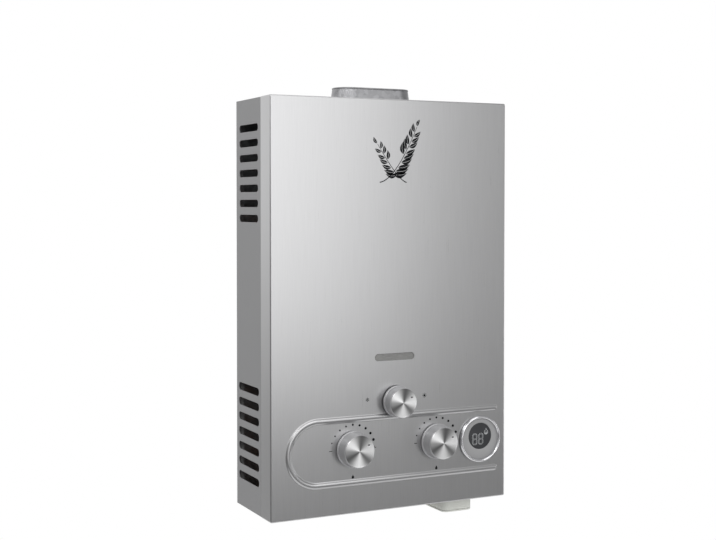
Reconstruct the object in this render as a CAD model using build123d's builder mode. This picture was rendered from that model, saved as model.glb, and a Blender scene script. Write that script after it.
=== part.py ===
"""Wall-hung instantaneous gas water heater with an open flue.

Millimetres. The wall is the plane Y = 0, the front faces -Y, +X is to the right of someone who
looks at the front, and +Z is up. The origin is the middle of the back panel's four fixing holes.
"""
from build123d import *
from math import cos, radians, sin, sqrt
import os

# ---------------------------------------------------------------- casing
casing_width = 335.0
casing_height = 520.0
casing_depth = 116.0
sheet = 0.8
cover_flange = 30.0
cover_bend = 1.6
panel_lip = 9.0
cover_clearance = 0.3

# wall fixings
fixing_spacing_x = 250.0
fixing_spacing_z = 470.0
fixing_hole_radius = 3.5
keyhole_head_radius = 6.0
keyhole_slot_radius = 3.0
keyhole_drop = 9.0
keyhole_from_top = 14.0

# side louvres: rows of round-ended slots, measured from the wall and from the casing's top
slot_rows = 7
upper_slot_length = 64.0
upper_slot_height = 9.3
upper_slot_first = 37.1
upper_slot_pitch = 18.9
upper_slot_from_wall = 11.0
lower_slot_length = 70.0
lower_slot_height = 10.0
lower_slot_last = 40.5
lower_slot_pitch = 18.95
lower_slot_from_wall = 7.0

# embossed bead round the controls, open to the right
bead_width = 8.0
bead_height = 1.2
bead_radius = 39.8
bead_arc_x = -104.0
bead_end_from_side = 15.5
bead_drop = 2.5

# flue
flue_width = 107.0
flue_across = 40.0
flue_height = 17.5
flue_taper = 1.5
flue_from_wall = 52.0
flue_rim = 6.0
flue_play = 0.4

# ---------------------------------------------------------------- controls on the front
knob_row_height = 81.5
gas_x = -56.5
water_x = 63.5
season_x = 5.0
season_rise = 55.9
window_rise = 56.6
window_x = 2.6
window_length = 56.6
window_height = 9.3
glass_thickness = 1.5
glass_margin = 6.0
clip_sheet = 0.5
clip_lap = 3.0

knob_radius = 23.0
knob_face_radius = 20.8
knob_height = 20.0
season_knob_radius = 20.2
season_face_radius = 19.2
season_knob_height = 18.5
knob_skirt = 3.0
knob_front_gap = 0.6
knob_wall = 2.0
face_sheet = 0.8
face_recess = 0.5
pointer_angle = 30.0
pointer_reach = 0.70
pointer_length = 3.0
pointer_width = 2.0
pointer_depth = 0.4
hub_radius = 6.0
hub_clearance = 2.5

shaft_radius = 3.0
shaft_grip = 12.0
running_clearance = 0.05
shaft_hole_radius = 5.0

display_from_side = 39.0
display_drop = 2.4
bezel_radius = 30.6
bezel_ring = 4.0
bezel_height = 4.5
bezel_round = 1.6
display_body_radius = 23.5
display_body_depth = 15.0
display_wall = 1.5
display_face_height = 1.6
lens_radius = 17.2
lens_rise = 3.8
lens_thickness = 1.0
lens_clearance = 0.1
board_thickness = 1.6
board_from_cover = 10.0
opening_clearance = 0.5

# ---------------------------------------------------------------- valves and ports
port_radius = 10.48
port_bore = 7.0
port_length = 16.0
port_from_wall = 45.0
port_hex = 24.0
port_hex_height = 10.0
port_clearance = 1.0
hot_port_x = -110.0
locknut_thickness = 4.0
locknut_across = 27.0
port_relief_width = 0.8
port_relief_depth = 0.9
port_boss_radius = 13.0
passage_radius = 6.0

gas_body_radius = 16.0
gas_body_left = 26.0
gas_body_right = 30.0
spindle_boss_radius = 9.0
spindle_boss_from_wall = 96.0
spindle_seat = 8.0

water_body_radius = 20.0
water_body_left = 19.5
water_body_right = 26.5
diaphragm_radius = 27.0
diaphragm_rim = 5.0
diaphragm_thickness = 2.0
cover_plate_thickness = 9.0
pressure_plate_radius = 12.0
pressure_plate_thickness = 1.5
outlet_boss_length = 8.0
outlet_boss_wall = 3.0
pipe_insertion = 6.0
valve_foot_width = 22.0
valve_foot_height = 18.0
guide_radius = 8.0
guide_length = 8.0
diaphragm_screw_circle = 23.0
diaphragm_screw_count = 6

rod_radius = 2.5
rod_travel = 4.0
collar_radius = 5.0
collar_thickness = 3.0
rod_engagement = 14.0
spring_radius = 4.0
spring_wire = 0.8
spring_turns = 7

switch_width = 20.0
switch_depth = 9.0
switch_height = 15.0
lever_gap = 0.3
lever_thickness = 1.0
lever_width = 5.0
lever_length = 13.0
lever_rod_gap = 0.5
lever_pin_radius = 1.0
lever_eye_radius = 2.0
switch_ear = 1.5

bracket_from_wall = 14.0
bracket_sheet = 1.5
bracket_half_height = 20.0
bracket_half_width = 96.0
bracket_foot = 10.0

solenoid_radius = 12.0
solenoid_length = 26.0
solenoid_cap = 3.0
solenoid_round = 0.3

drain_x_offset = 20.5
drain_radius = 4.0
drain_wall = 3.0
drain_head_radius = 6.0
drain_head_height = 6.0
drain_below = 10.0
drain_bore_depth = 14.0
drain_boss_gap = 2.0

filter_radius = 6.6
filter_height = 14.0
filter_wall = 0.6

# ---------------------------------------------------------------- burner
burner_half_width = 104.0
burner_front_from_wall = 90.0
burner_back_from_wall = 20.0
burner_height = 60.0
burner_below_window = 14.0
burner_sheet = 1.0
burner_ledge = 6.0
bar_count = 11
bar_thickness = 13.0
bar_pitch = 18.0
bar_end_gap = 0.3
bar_slot_width = 1.2
bar_slot_count = 8
bar_slot_depth = 10.0
venturi_radius = 5.0
venturi_depth = 40.0
nozzle_radius = 3.0
nozzle_reach = 6.5
nozzle_bore = 0.6
manifold_depth = 12.0
manifold_height = 18.0
manifold_from_wall = 95.0
manifold_wall = 2.0
manifold_end = 8.0
season_body_radius = 13.0
season_body_depth = 5.0
gas_pipe_radius = 5.0
gas_pipe_bend = 8.0
gas_pipe_rise = 14.0

electrode_radius = 2.5
electrode_pin_radius = 0.8
electrode_spacing = 90.0
electrode_rise = 7.0
electrode_length = 18.0
electrode_outside = 10.0
electrode_pin_length = 12.0

# ---------------------------------------------------------------- heat exchanger and hood
shell_half_width = 106.0
shell_height = 190.0
shell_sheet = 0.8
view_slot_height = 14.0
fin_count = 28
fin_pitch = 7.0
fin_sheet = 0.4
fin_height = 38.0
fin_below_top = 4.0
fin_gap = 0.5
tube_radius = 6.0
tube_wall = 0.8
tube_pitch = 13.6
tube_count = 5
tube_overhang = 8.0
braze_gap = 0.03
coil_rise = 60.0
coil_gap = 0.3
pipe_bend = 9.0
offset_bend = 18.0
pipe_outset = 26.0
hood_height = 95.0
hood_corner = 3.0
chassis_sheet = 1.5
chassis_width = 16.0
chassis_height = 24.0

thermostat_x = 60.0
thermostat_radius = 8.0
thermostat_height = 7.0
sensor_length = 12.0
sensor_wall = 1.6

# ---------------------------------------------------------------- igniter and battery
igniter_width = 26.0
igniter_depth = 64.0
igniter_height = 96.0
igniter_from_wall = 30.0
igniter_above_valves = 78.0
igniter_wall = 1.6

battery_x = 114.3
battery_width = 45.4
battery_depth = 72.0
battery_from_wall = 14.0
battery_below = 22.0
battery_inside = 53.0
battery_wall = 1.6
battery_corner = 5.0
cell_radius = 17.1
cell_length = 61.5
cell_tip_radius = 4.75
cell_tip_height = 1.5
door_thickness = 2.2
door_gap = 0.3
door_knuckle_radius = 2.6
door_pin_radius = 1.0
door_knuckle_width = 14.0
door_side_gap = 0.3
cell_spring_radius = 5.0
cell_spring_wire = 0.5
cell_spring_turns = 3

screw_radius = 2.0
screw_head_radius = 4.0
screw_head_height = 2.4
screw_length = 6.0

lead_radius = 1.2
lead_bend = 8.0
lead_run = 12.0
lead_spread = 9.0
lead_gap = 2.0
switch_lead_run = 36.0
rear_loom_run = 18.0
lead_climb = 24.0
display_lead_inset = 6.0

# ---------------------------------------------------------------- derived places
half_width = casing_width / 2
half_height = casing_height / 2
display_x = half_width - display_from_side
bead_end_x = half_width - bead_end_from_side
panel_x = half_width - sheet
panel_z = half_height - sheet
front_inside = casing_depth - sheet
back_face = sheet
knob_z = knob_row_height - half_height
season_z = knob_z + season_rise
window_z = season_z + window_rise
display_z = knob_z - display_drop
lens_z = display_z + lens_rise
bead_z = knob_z - bead_drop
burner_top = window_z - burner_below_window
burner_bottom = burner_top - burner_height
burner_mid_y = -(burner_front_from_wall + burner_back_from_wall) / 2
burner_depth = burner_front_from_wall - burner_back_from_wall
shell_top = burner_top + shell_height
tube_z = shell_top - fin_below_top - fin_height / 2
hood_top = shell_top + hood_height
bottom_inside = -panel_z + sheet
coil_z = burner_top + coil_rise
coil_out = pipe_bend - (pipe_bend - tube_radius - coil_gap) / sqrt(2)
battery_bottom = -half_height - battery_below
valve_y = -port_from_wall
switch_x = (gas_x + water_x) / 2
collar_x = switch_x


def box_between(low, high, mode=Mode.ADD):
    """A block between two opposite corners."""
    middle = tuple((a + b) / 2 for a, b in zip(low, high))
    size = tuple(b - a for a, b in zip(low, high))
    with Locations(middle):
        Box(*size, mode=mode)


def rod_along(start, direction, radius, length, mode=Mode.ADD):
    """A round bar that begins at a point and runs along a direction."""
    with Locations(Plane(origin=start, z_dir=direction).location):
        Cylinder(radius, length, align=(Align.CENTER, Align.CENTER, Align.MIN), mode=mode)


def bent_pipe(points, radii, radius, bore=0.0):
    """A pipe through corner points, with an arc of its own radius at each corner."""
    with BuildPart() as pipe:
        with BuildLine() as path:
            FilletPolyline(*points, radius=radii)
        start = Plane(origin=path.line @ 0, z_dir=path.line % 0)
        with BuildSketch(start):
            Circle(radius)
            if bore:
                Circle(bore, mode=Mode.SUBTRACT)
        sweep(path=path.line)
    return pipe


# ================================================================ casing sheets
with BuildPart() as back_panel:
    with BuildSketch(Plane.XZ):
        Rectangle(2 * panel_x, 2 * panel_z)
        with GridLocations(fixing_spacing_x, fixing_spacing_z, 2, 2):
            Circle(fixing_hole_radius, mode=Mode.SUBTRACT)
        with Locations((0, panel_z - keyhole_from_top)):
            Circle(keyhole_slot_radius, mode=Mode.SUBTRACT)
        with Locations((0, panel_z - keyhole_from_top - keyhole_drop / 2)):
            Rectangle(2 * keyhole_slot_radius, keyhole_drop, mode=Mode.SUBTRACT)
        with Locations((0, panel_z - keyhole_from_top - keyhole_drop)):
            Circle(keyhole_head_radius, mode=Mode.SUBTRACT)
    extrude(amount=sheet)
back_panel.part.label = "back_panel"

upper_slot_y = -(upper_slot_from_wall + upper_slot_length / 2)
upper_slot_z = half_height - upper_slot_first - upper_slot_pitch * (slot_rows - 1) / 2
lower_slot_y = -(lower_slot_from_wall + lower_slot_length / 2)
lower_slot_z = -half_height + lower_slot_last + lower_slot_pitch * (slot_rows - 1) / 2
side_front = front_inside - cover_clearance


def side_panel(side):
    """A slotted side sheet with a lip on the back panel; side is -1 on the left, +1 on the right."""
    with BuildPart() as panel:
        with BuildSketch(Plane.YZ.offset(side * panel_x)):
            with Locations((-(side_front + back_face) / 2, 0)):
                Rectangle(side_front - back_face, 2 * panel_z)
            with Locations((upper_slot_y, upper_slot_z)):
                with GridLocations(0, upper_slot_pitch, 1, slot_rows):
                    SlotOverall(upper_slot_length, upper_slot_height, mode=Mode.SUBTRACT)
            with Locations((lower_slot_y, lower_slot_z)):
                with GridLocations(0, lower_slot_pitch, 1, slot_rows):
                    SlotOverall(lower_slot_length, lower_slot_height, mode=Mode.SUBTRACT)
        extrude(amount=-side * sheet)
        with BuildSketch(Plane.XZ.offset(back_face)):
            with Locations((side * (panel_x - panel_lip / 2), 0)):
                Rectangle(panel_lip, 2 * (panel_z - sheet))
        extrude(amount=sheet)
    return panel


left_side_panel = side_panel(-1)
left_side_panel.part.label = "left_side_panel"
right_side_panel = side_panel(1)
right_side_panel.part.label = "right_side_panel"

end_half_width = panel_x - sheet
screw_y = -(casing_depth - cover_flange / 2)
cover_screw_spots = [(-fixing_spacing_x / 2, screw_y), (fixing_spacing_x / 2, screw_y)]
flue_y = -flue_from_wall
duct_width = flue_width - 2 * sheet - flue_play
duct_across = flue_across - 2 * sheet - flue_play

with BuildPart() as top_panel:
    with BuildSketch(Plane.XY.offset(panel_z)):
        with Locations((0, -(side_front + back_face) / 2)):
            Rectangle(2 * end_half_width, side_front - back_face)
        with Locations((0, flue_y)):
            SlotOverall(flue_width, flue_across, mode=Mode.SUBTRACT)
    extrude(amount=-sheet)
top_panel.part.label = "top_panel"

port_xs = (hot_port_x, gas_x, water_x)
battery_y = -(battery_from_wall + battery_depth / 2)
drain_x = water_x + drain_x_offset

with BuildPart() as bottom_panel:
    with BuildSketch(Plane.XY.offset(-panel_z)):
        with Locations((0, -(side_front + back_face) / 2)):
            Rectangle(2 * end_half_width, side_front - back_face)
        with Locations(*[(x, -port_from_wall) for x in port_xs]):
            Circle(port_radius + port_clearance, mode=Mode.SUBTRACT)
        with Locations((battery_x, battery_y)):
            RectangleRounded(battery_width + 2 * door_gap, battery_depth + 2 * door_gap,
                             battery_corner, mode=Mode.SUBTRACT)
        with Locations((drain_x, valve_y)):
            Circle(drain_radius + port_clearance, mode=Mode.SUBTRACT)
        with Locations(*cover_screw_spots):
            Circle(screw_radius, mode=Mode.SUBTRACT)
    extrude(amount=sheet)
bottom_panel.part.label = "bottom_panel"

bead_straight = bead_end_x - bead_arc_x


def bead_outline(radius, mode):
    """A disc with a straight tail to the right: the bead's outer or inner edge."""
    with Locations((bead_arc_x, bead_z)):
        Circle(radius, mode=mode)
    with Locations((bead_arc_x + bead_straight / 2, bead_z)):
        Rectangle(bead_straight, 2 * radius, mode=mode)


with BuildPart() as front_cover:
    with BuildSketch(Plane.XZ.offset(casing_depth - cover_flange)):
        Rectangle(casing_width, casing_height)
    extrude(amount=cover_flange)
    fillet(front_cover.faces().sort_by(Axis.Y)[0].edges(), cover_bend)
    with BuildSketch(Plane.XZ.offset(casing_depth - cover_flange)):
        Rectangle(2 * panel_x, 2 * panel_z)
    extrude(amount=cover_flange - sheet, mode=Mode.SUBTRACT)
    with BuildSketch(Plane.XZ.offset(casing_depth)):
        bead_outline(bead_radius + bead_width / 2, Mode.ADD)
        bead_outline(bead_radius - bead_width / 2, Mode.SUBTRACT)
        with Locations((bead_end_x, bead_z + bead_radius), (bead_end_x, bead_z - bead_radius)):
            Circle(bead_width / 2)
    extrude(amount=bead_height)
    with BuildSketch(Plane.XZ.offset(front_inside)):
        with Locations((window_x, window_z)):
            SlotOverall(window_length, window_height)
        with Locations((gas_x, knob_z), (water_x, knob_z), (season_x, season_z)):
            Circle(shaft_hole_radius)
        with Locations((display_x, display_z)):
            Circle(display_body_radius + opening_clearance)
    extrude(amount=sheet, mode=Mode.SUBTRACT)
    with BuildSketch(Plane.XY.offset(-half_height)):
        with Locations(*cover_screw_spots):
            Circle(screw_radius)
    extrude(amount=sheet, mode=Mode.SUBTRACT)
front_cover.part.label = "front_cover"

# ================================================================ sight glass
glass_length = window_length + 2 * glass_margin
glass_height = window_height + 2 * glass_margin

with BuildPart() as sight_glass:
    with BuildSketch(Plane.XZ.offset(front_inside)):
        with Locations((window_x, window_z)):
            Rectangle(glass_length, glass_height)
    extrude(amount=-glass_thickness)
sight_glass.part.label = "sight_glass"

with BuildPart() as sight_glass_frame:
    with BuildSketch(Plane.XZ.offset(front_inside)):
        with Locations((window_x, window_z)):
            Rectangle(glass_length + 2 * glass_margin, glass_height)
            Rectangle(glass_length, glass_height, mode=Mode.SUBTRACT)
    extrude(amount=-glass_thickness)
    with BuildSketch(Plane.XZ.offset(front_inside - glass_thickness)):
        with Locations((window_x, window_z)):
            Rectangle(glass_length + 2 * glass_margin, glass_height)
            Rectangle(glass_length - 2 * clip_lap, glass_height - 2 * clip_lap, mode=Mode.SUBTRACT)
    extrude(amount=-clip_sheet)
sight_glass_frame.part.label = "sight_glass_frame"


# ================================================================ knobs and their shafts
def knob(x, z, radius, face_radius, height, gap):
    """A tapered control knob with a skirt, hollow behind, with a hub for the shaft."""
    back = casing_depth + gap
    with BuildPart() as body:
        with BuildSketch(Plane.XZ.offset(back)):
            with Locations((x, z)):
                Circle(radius)
        extrude(amount=knob_skirt)
        with BuildSketch(Plane.XZ.offset(back + knob_skirt)):
            with Locations((x, z)):
                Circle(radius - knob_wall / 2)
        with BuildSketch(Plane.XZ.offset(back + height)):
            with Locations((x, z)):
                Circle(face_radius)
        loft()
        with BuildSketch(Plane.XZ.offset(back)):
            with Locations((x, z)):
                Circle(face_radius - knob_wall)
        extrude(amount=height - 2 * knob_wall, mode=Mode.SUBTRACT)
        with BuildSketch(Plane.XZ.offset(back + hub_clearance)):
            with Locations((x, z)):
                Circle(hub_radius)
        extrude(amount=height - hub_clearance - knob_wall)
        with BuildSketch(Plane.XZ.offset(back)):
            with Locations((x, z)):
                Circle(shaft_radius)
        extrude(amount=hub_clearance + shaft_grip, mode=Mode.SUBTRACT)
        with BuildSketch(Plane.XZ.offset(back + height - face_recess)):
            with Locations((x, z)):
                Circle(face_radius - knob_wall / 2)
        extrude(amount=face_recess, mode=Mode.SUBTRACT)
    return body


def knob_face(x, z, face_radius, height, gap):
    """The spun metal disc in the knob's front, with a dimple that points at the setting."""
    back = casing_depth + gap + height - face_recess
    reach = face_radius * pointer_reach
    dimple_x = x + reach * cos(radians(pointer_angle))
    dimple_z = z + reach * sin(radians(pointer_angle))
    with BuildPart() as disc:
        with BuildSketch(Plane.XZ.offset(back)):
            with Locations((x, z)):
                Circle(face_radius - knob_wall / 2)
        extrude(amount=face_sheet)
        with BuildSketch(Plane.XZ.offset(back + face_sheet)):
            with Locations((dimple_x, dimple_z)):
                SlotOverall(pointer_length, pointer_width)
        extrude(amount=-pointer_depth, mode=Mode.SUBTRACT)
    return disc


def shaft(x, z, seat_from_wall, gap):
    """A round control spindle from its seat in the valve to its grip in the knob."""
    tip = casing_depth + gap + hub_clearance + shaft_grip
    with BuildPart() as spindle:
        with BuildSketch(Plane.XZ.offset(seat_from_wall)):
            with Locations((x, z)):
                Circle(shaft_radius)
        extrude(amount=tip - seat_from_wall)
    return spindle


valve_seat_from_wall = port_from_wall + spindle_seat
season_seat_from_wall = manifold_from_wall + manifold_wall
season_knob_gap = bead_height + knob_front_gap

gas_knob = knob(gas_x, knob_z, knob_radius, knob_face_radius, knob_height, knob_front_gap)
gas_knob.part.label = "gas_knob"
gas_knob_face = knob_face(gas_x, knob_z, knob_face_radius, knob_height, knob_front_gap)
gas_knob_face.part.label = "gas_knob_face"
gas_spindle = shaft(gas_x, knob_z, valve_seat_from_wall, knob_front_gap)
gas_spindle.part.label = "gas_spindle"
water_knob = knob(water_x, knob_z, knob_radius, knob_face_radius, knob_height, knob_front_gap)
water_knob.part.label = "water_knob"
water_knob_face = knob_face(water_x, knob_z, knob_face_radius, knob_height, knob_front_gap)
water_knob_face.part.label = "water_knob_face"
water_spindle = shaft(water_x, knob_z, valve_seat_from_wall, knob_front_gap)
water_spindle.part.label = "water_spindle"
season_knob = knob(season_x, season_z, season_knob_radius, season_face_radius, season_knob_height,
                   season_knob_gap)
season_knob.part.label = "season_knob"
season_knob_face = knob_face(season_x, season_z, season_face_radius, season_knob_height, season_knob_gap)
season_knob_face.part.label = "season_knob_face"
season_spindle = shaft(season_x, season_z, season_seat_from_wall, season_knob_gap)
season_spindle.part.label = "season_spindle"

# ================================================================ temperature display
with BuildPart() as display_bezel:
    with BuildSketch(Plane.XZ.offset(casing_depth)):
        with Locations((display_x, display_z)):
            Circle(bezel_radius)
    extrude(amount=bezel_height)
    fillet(display_bezel.faces().sort_by(Axis.Y)[0].edges(), bezel_round)
    with BuildSketch(Plane.XZ.offset(casing_depth)):
        with Locations((display_x, display_z)):
            Circle(bezel_radius - bezel_ring)
    extrude(amount=bezel_height, mode=Mode.SUBTRACT)
display_bezel.part.label = "display_bezel"

with BuildPart() as display_housing:
    with BuildSketch(Plane.XZ.offset(casing_depth)):
        with Locations((display_x, display_z)):
            Circle(bezel_radius - bezel_ring)
    extrude(amount=display_face_height)
    with BuildSketch(Plane.XZ.offset(casing_depth)):
        with Locations((display_x, display_z)):
            Circle(display_body_radius)
            Circle(display_body_radius - display_wall, mode=Mode.SUBTRACT)
    extrude(amount=-display_body_depth)
    with BuildSketch(Plane.XZ.offset(casing_depth + display_face_height)):
        with Locations((display_x, lens_z)):
            Circle(lens_radius + lens_clearance)
    extrude(amount=-lens_thickness, mode=Mode.SUBTRACT)
display_housing.part.label = "display_housing"

with BuildPart() as display_lens:
    with BuildSketch(Plane.XZ.offset(casing_depth + display_face_height - lens_thickness)):
        with Locations((display_x, lens_z)):
            Circle(lens_radius)
    extrude(amount=lens_thickness)
display_lens.part.label = "display_lens"

with BuildPart() as display_board:
    with BuildSketch(Plane.XZ.offset(casing_depth - board_from_cover)):
        with Locations((display_x, display_z)):
            Circle(display_body_radius - display_wall)
    extrude(amount=board_thickness)
display_board.part.label = "display_board"

# ================================================================ valve group
left_body_x = gas_x - gas_body_left
gas_face_x = gas_x + gas_body_right
water_face_x = water_x - water_body_left
water_end_x = water_x + water_body_right
diaphragm_x = water_face_x - diaphragm_thickness
guide_face_x = diaphragm_x - cover_plate_thickness
outlet_end_x = water_end_x + outlet_boss_length
port_hex_top = bottom_inside + port_hex_height
spindle_bore_length = spindle_boss_from_wall - valve_seat_from_wall
foot_screw_spots = [(gas_x, knob_z), (water_x, knob_z)]
feet_pitch = valve_foot_width / 2


def valve_foot(x):
    """The pad behind a valve body that is screwed to the bracket."""
    box_between((x - valve_foot_width / 2, valve_y, knob_z - valve_foot_height / 2),
                (x + valve_foot_width / 2, -bracket_from_wall, knob_z + valve_foot_height / 2))


def foot_screw_holes(x):
    """Two screw holes in a valve's pad."""
    for offset in (-feet_pitch / 2, feet_pitch / 2):
        rod_along((x + offset, -bracket_from_wall, knob_z), (0, -1, 0), screw_radius, screw_length,
                  mode=Mode.SUBTRACT)


def spindle_boss(x):
    """The long boss that carries a control spindle."""
    rod_along((x, valve_y, knob_z), (0, -1, 0), spindle_boss_radius, spindle_boss_from_wall - port_from_wall)


def spindle_bore(x):
    """The running bore in a spindle boss."""
    rod_along((x, -valve_seat_from_wall, knob_z), (0, -1, 0), shaft_radius + running_clearance,
              spindle_bore_length, mode=Mode.SUBTRACT)


def inlet_boss(x):
    """The boss between a valve body and the nipple below it."""
    rod_along((x, valve_y, knob_z), (0, 0, -1), port_boss_radius, knob_z - port_hex_top)


def inlet_bore(x):
    """The passage from the nipple into a valve body."""
    rod_along((x, valve_y, port_hex_top), (0, 0, 1), passage_radius, knob_z - port_hex_top,
              mode=Mode.SUBTRACT)


gas_outlet_top = knob_z + gas_body_radius + gas_pipe_rise / 2

with BuildPart() as gas_valve_body:
    rod_along((left_body_x, valve_y, knob_z), (1, 0, 0), gas_body_radius, gas_body_left + gas_body_right)
    spindle_boss(gas_x)
    inlet_boss(gas_x)
    rod_along((gas_x, valve_y, knob_z), (0, 0, 1), spindle_boss_radius, gas_outlet_top - knob_z)
    valve_foot(gas_x)
    foot_screw_holes(gas_x)
    spindle_bore(gas_x)
    inlet_bore(gas_x)
    rod_along((gas_x, valve_y, gas_outlet_top), (0, 0, -1), gas_pipe_radius + braze_gap,
              gas_outlet_top - knob_z, mode=Mode.SUBTRACT)
    rod_along((gas_face_x, valve_y, knob_z), (-1, 0, 0), rod_radius + running_clearance,
              rod_engagement + rod_travel + lever_gap, mode=Mode.SUBTRACT)
gas_valve_body.part.label = "gas_valve_body"

with BuildPart() as solenoid_valve:
    rod_along((left_body_x, valve_y, knob_z), (-1, 0, 0), solenoid_radius, solenoid_length)
    rod_along((left_body_x - solenoid_length, valve_y, knob_z), (-1, 0, 0), solenoid_radius / 2, solenoid_cap)
    fillet(solenoid_valve.edges().filter_by(GeomType.CIRCLE).sort_by(Axis.X)[:3], solenoid_round)
solenoid_valve.part.label = "solenoid_valve"

drain_boss_bottom = port_hex_top + drain_boss_gap

with BuildPart() as water_valve_body:
    rod_along((water_face_x, valve_y, knob_z), (1, 0, 0), water_body_radius, water_end_x - water_face_x)
    rod_along((water_face_x, valve_y, knob_z), (1, 0, 0), diaphragm_radius, diaphragm_rim)
    rod_along((water_end_x, valve_y, knob_z), (1, 0, 0), tube_radius + outlet_boss_wall, outlet_boss_length)
    spindle_boss(water_x)
    inlet_boss(water_x)
    rod_along((drain_x, valve_y, knob_z), (0, 0, -1), drain_radius + drain_wall,
              knob_z - drain_boss_bottom)
    valve_foot(water_x)
    foot_screw_holes(water_x)
    spindle_bore(water_x)
    inlet_bore(water_x)
    rod_along((outlet_end_x, valve_y, knob_z), (-1, 0, 0), tube_radius + braze_gap, pipe_insertion,
              mode=Mode.SUBTRACT)
    rod_along((outlet_end_x, valve_y, knob_z), (-1, 0, 0), tube_radius - tube_wall,
              outlet_end_x - water_x, mode=Mode.SUBTRACT)
    rod_along((drain_x, valve_y, drain_boss_bottom), (0, 0, 1), drain_radius + running_clearance,
              drain_bore_depth, mode=Mode.SUBTRACT)
    with BuildSketch(Plane.YZ.offset(water_face_x)):
        with Locations((valve_y, knob_z)):
            with PolarLocations(diaphragm_screw_circle, diaphragm_screw_count):
                Circle(screw_radius)
    extrude(amount=diaphragm_rim, mode=Mode.SUBTRACT)
water_valve_body.part.label = "water_valve_body"

with BuildPart() as diaphragm:
    with BuildSketch(Plane.YZ.offset(diaphragm_x)):
        with Locations((valve_y, knob_z)):
            Circle(diaphragm_radius)
            with PolarLocations(diaphragm_screw_circle, diaphragm_screw_count):
                Circle(screw_radius, mode=Mode.SUBTRACT)
    extrude(amount=diaphragm_thickness)
diaphragm.part.label = "diaphragm"

plate_room = lever_gap + pressure_plate_thickness + rod_travel + lever_gap

with BuildPart() as diaphragm_cover:
    with BuildSketch(Plane.YZ.offset(guide_face_x)):
        with Locations((valve_y, knob_z)):
            Circle(diaphragm_radius)
            with PolarLocations(diaphragm_screw_circle, diaphragm_screw_count):
                Circle(screw_radius, mode=Mode.SUBTRACT)
    extrude(amount=cover_plate_thickness)
    rod_along((guide_face_x, valve_y, knob_z), (-1, 0, 0), guide_radius, guide_length)
    rod_along((diaphragm_x, valve_y, knob_z), (-1, 0, 0), pressure_plate_radius + opening_clearance,
              plate_room, mode=Mode.SUBTRACT)
    rod_along((diaphragm_x, valve_y, knob_z), (-1, 0, 0), rod_radius + running_clearance,
              cover_plate_thickness + guide_length, mode=Mode.SUBTRACT)
diaphragm_cover.part.label = "diaphragm_cover"

with BuildPart() as diaphragm_screws:
    with BuildSketch(Plane.YZ.offset(guide_face_x)):
        with Locations((valve_y, knob_z)):
            with PolarLocations(diaphragm_screw_circle, diaphragm_screw_count):
                Circle(screw_radius)
    extrude(amount=cover_plate_thickness + diaphragm_thickness + diaphragm_rim)
    with BuildSketch(Plane.YZ.offset(guide_face_x)):
        with Locations((valve_y, knob_z)):
            with PolarLocations(diaphragm_screw_circle, diaphragm_screw_count):
                Circle(screw_head_radius)
    extrude(amount=-screw_head_height)
diaphragm_screws.part.label = "diaphragm_screws"

plate_face_x = diaphragm_x - lever_gap
rod_tip_x = gas_face_x - rod_engagement

with BuildPart() as push_rod:
    rod_along((rod_tip_x, valve_y, knob_z), (1, 0, 0), rod_radius, plate_face_x - rod_tip_x)
    rod_along((plate_face_x, valve_y, knob_z), (-1, 0, 0), pressure_plate_radius, pressure_plate_thickness)
    rod_along((collar_x - collar_thickness / 2, valve_y, knob_z), (1, 0, 0), collar_radius, collar_thickness)
push_rod.part.label = "push_rod"

spring_room = collar_x - collar_thickness / 2 - gas_face_x
spring_height = spring_room - spring_wire - 2 * braze_gap
spring_start = gas_face_x + spring_wire / 2 + braze_gap

with BuildPart() as push_rod_spring:
    with BuildLine() as spring_path:
        Helix(spring_height / spring_turns, spring_height, spring_radius,
              center=(spring_start, valve_y, knob_z), direction=(1, 0, 0))
    with BuildSketch(Plane(origin=spring_path.line @ 0, z_dir=spring_path.line % 0)):
        Circle(spring_wire / 2)
    sweep(path=spring_path.line, is_frenet=True)
push_rod_spring.part.label = "push_rod_spring"

# ---------------------------------------------------------------- micro switch on the linkage
lever_x = collar_x + collar_thickness / 2 + lever_gap + lever_thickness / 2
lever_pivot_z = knob_z + rod_radius + lever_rod_gap + lever_length
switch_bottom = lever_pivot_z + lever_eye_radius + lever_gap
switch_top = switch_bottom + switch_height
ear_inner = lever_width / 2 + lever_gap

with BuildPart() as micro_switch:
    box_between((switch_x - switch_width / 2, valve_y - switch_depth / 2, switch_bottom),
                (switch_x + switch_width / 2, valve_y + switch_depth / 2, switch_top))
    for side in (-1, 1):
        ear_y = valve_y + side * (ear_inner + switch_ear / 2)
        box_between((lever_x - lever_eye_radius, ear_y - switch_ear / 2, lever_pivot_z - lever_eye_radius),
                    (lever_x + lever_eye_radius, ear_y + switch_ear / 2, switch_bottom))
    rod_along((lever_x, valve_y - ear_inner, lever_pivot_z), (0, 1, 0), lever_pin_radius, 2 * ear_inner)
micro_switch.part.label = "micro_switch"

with BuildPart() as switch_lever:
    box_between((lever_x - lever_thickness / 2, valve_y - lever_width / 2, lever_pivot_z - lever_length),
                (lever_x + lever_thickness / 2, valve_y + lever_width / 2, lever_pivot_z))
    rod_along((lever_x, valve_y - lever_width / 2, lever_pivot_z), (0, 1, 0), lever_eye_radius, lever_width)
    rod_along((lever_x, valve_y - lever_width / 2, lever_pivot_z), (0, 1, 0),
              lever_pin_radius + running_clearance, lever_width, mode=Mode.SUBTRACT)
switch_lever.part.label = "switch_lever"

# ---------------------------------------------------------------- bracket that carries the valves
bracket_back = -bracket_from_wall + bracket_sheet
bracket_left = switch_x - bracket_half_width
bracket_right = switch_x + bracket_half_width

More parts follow.
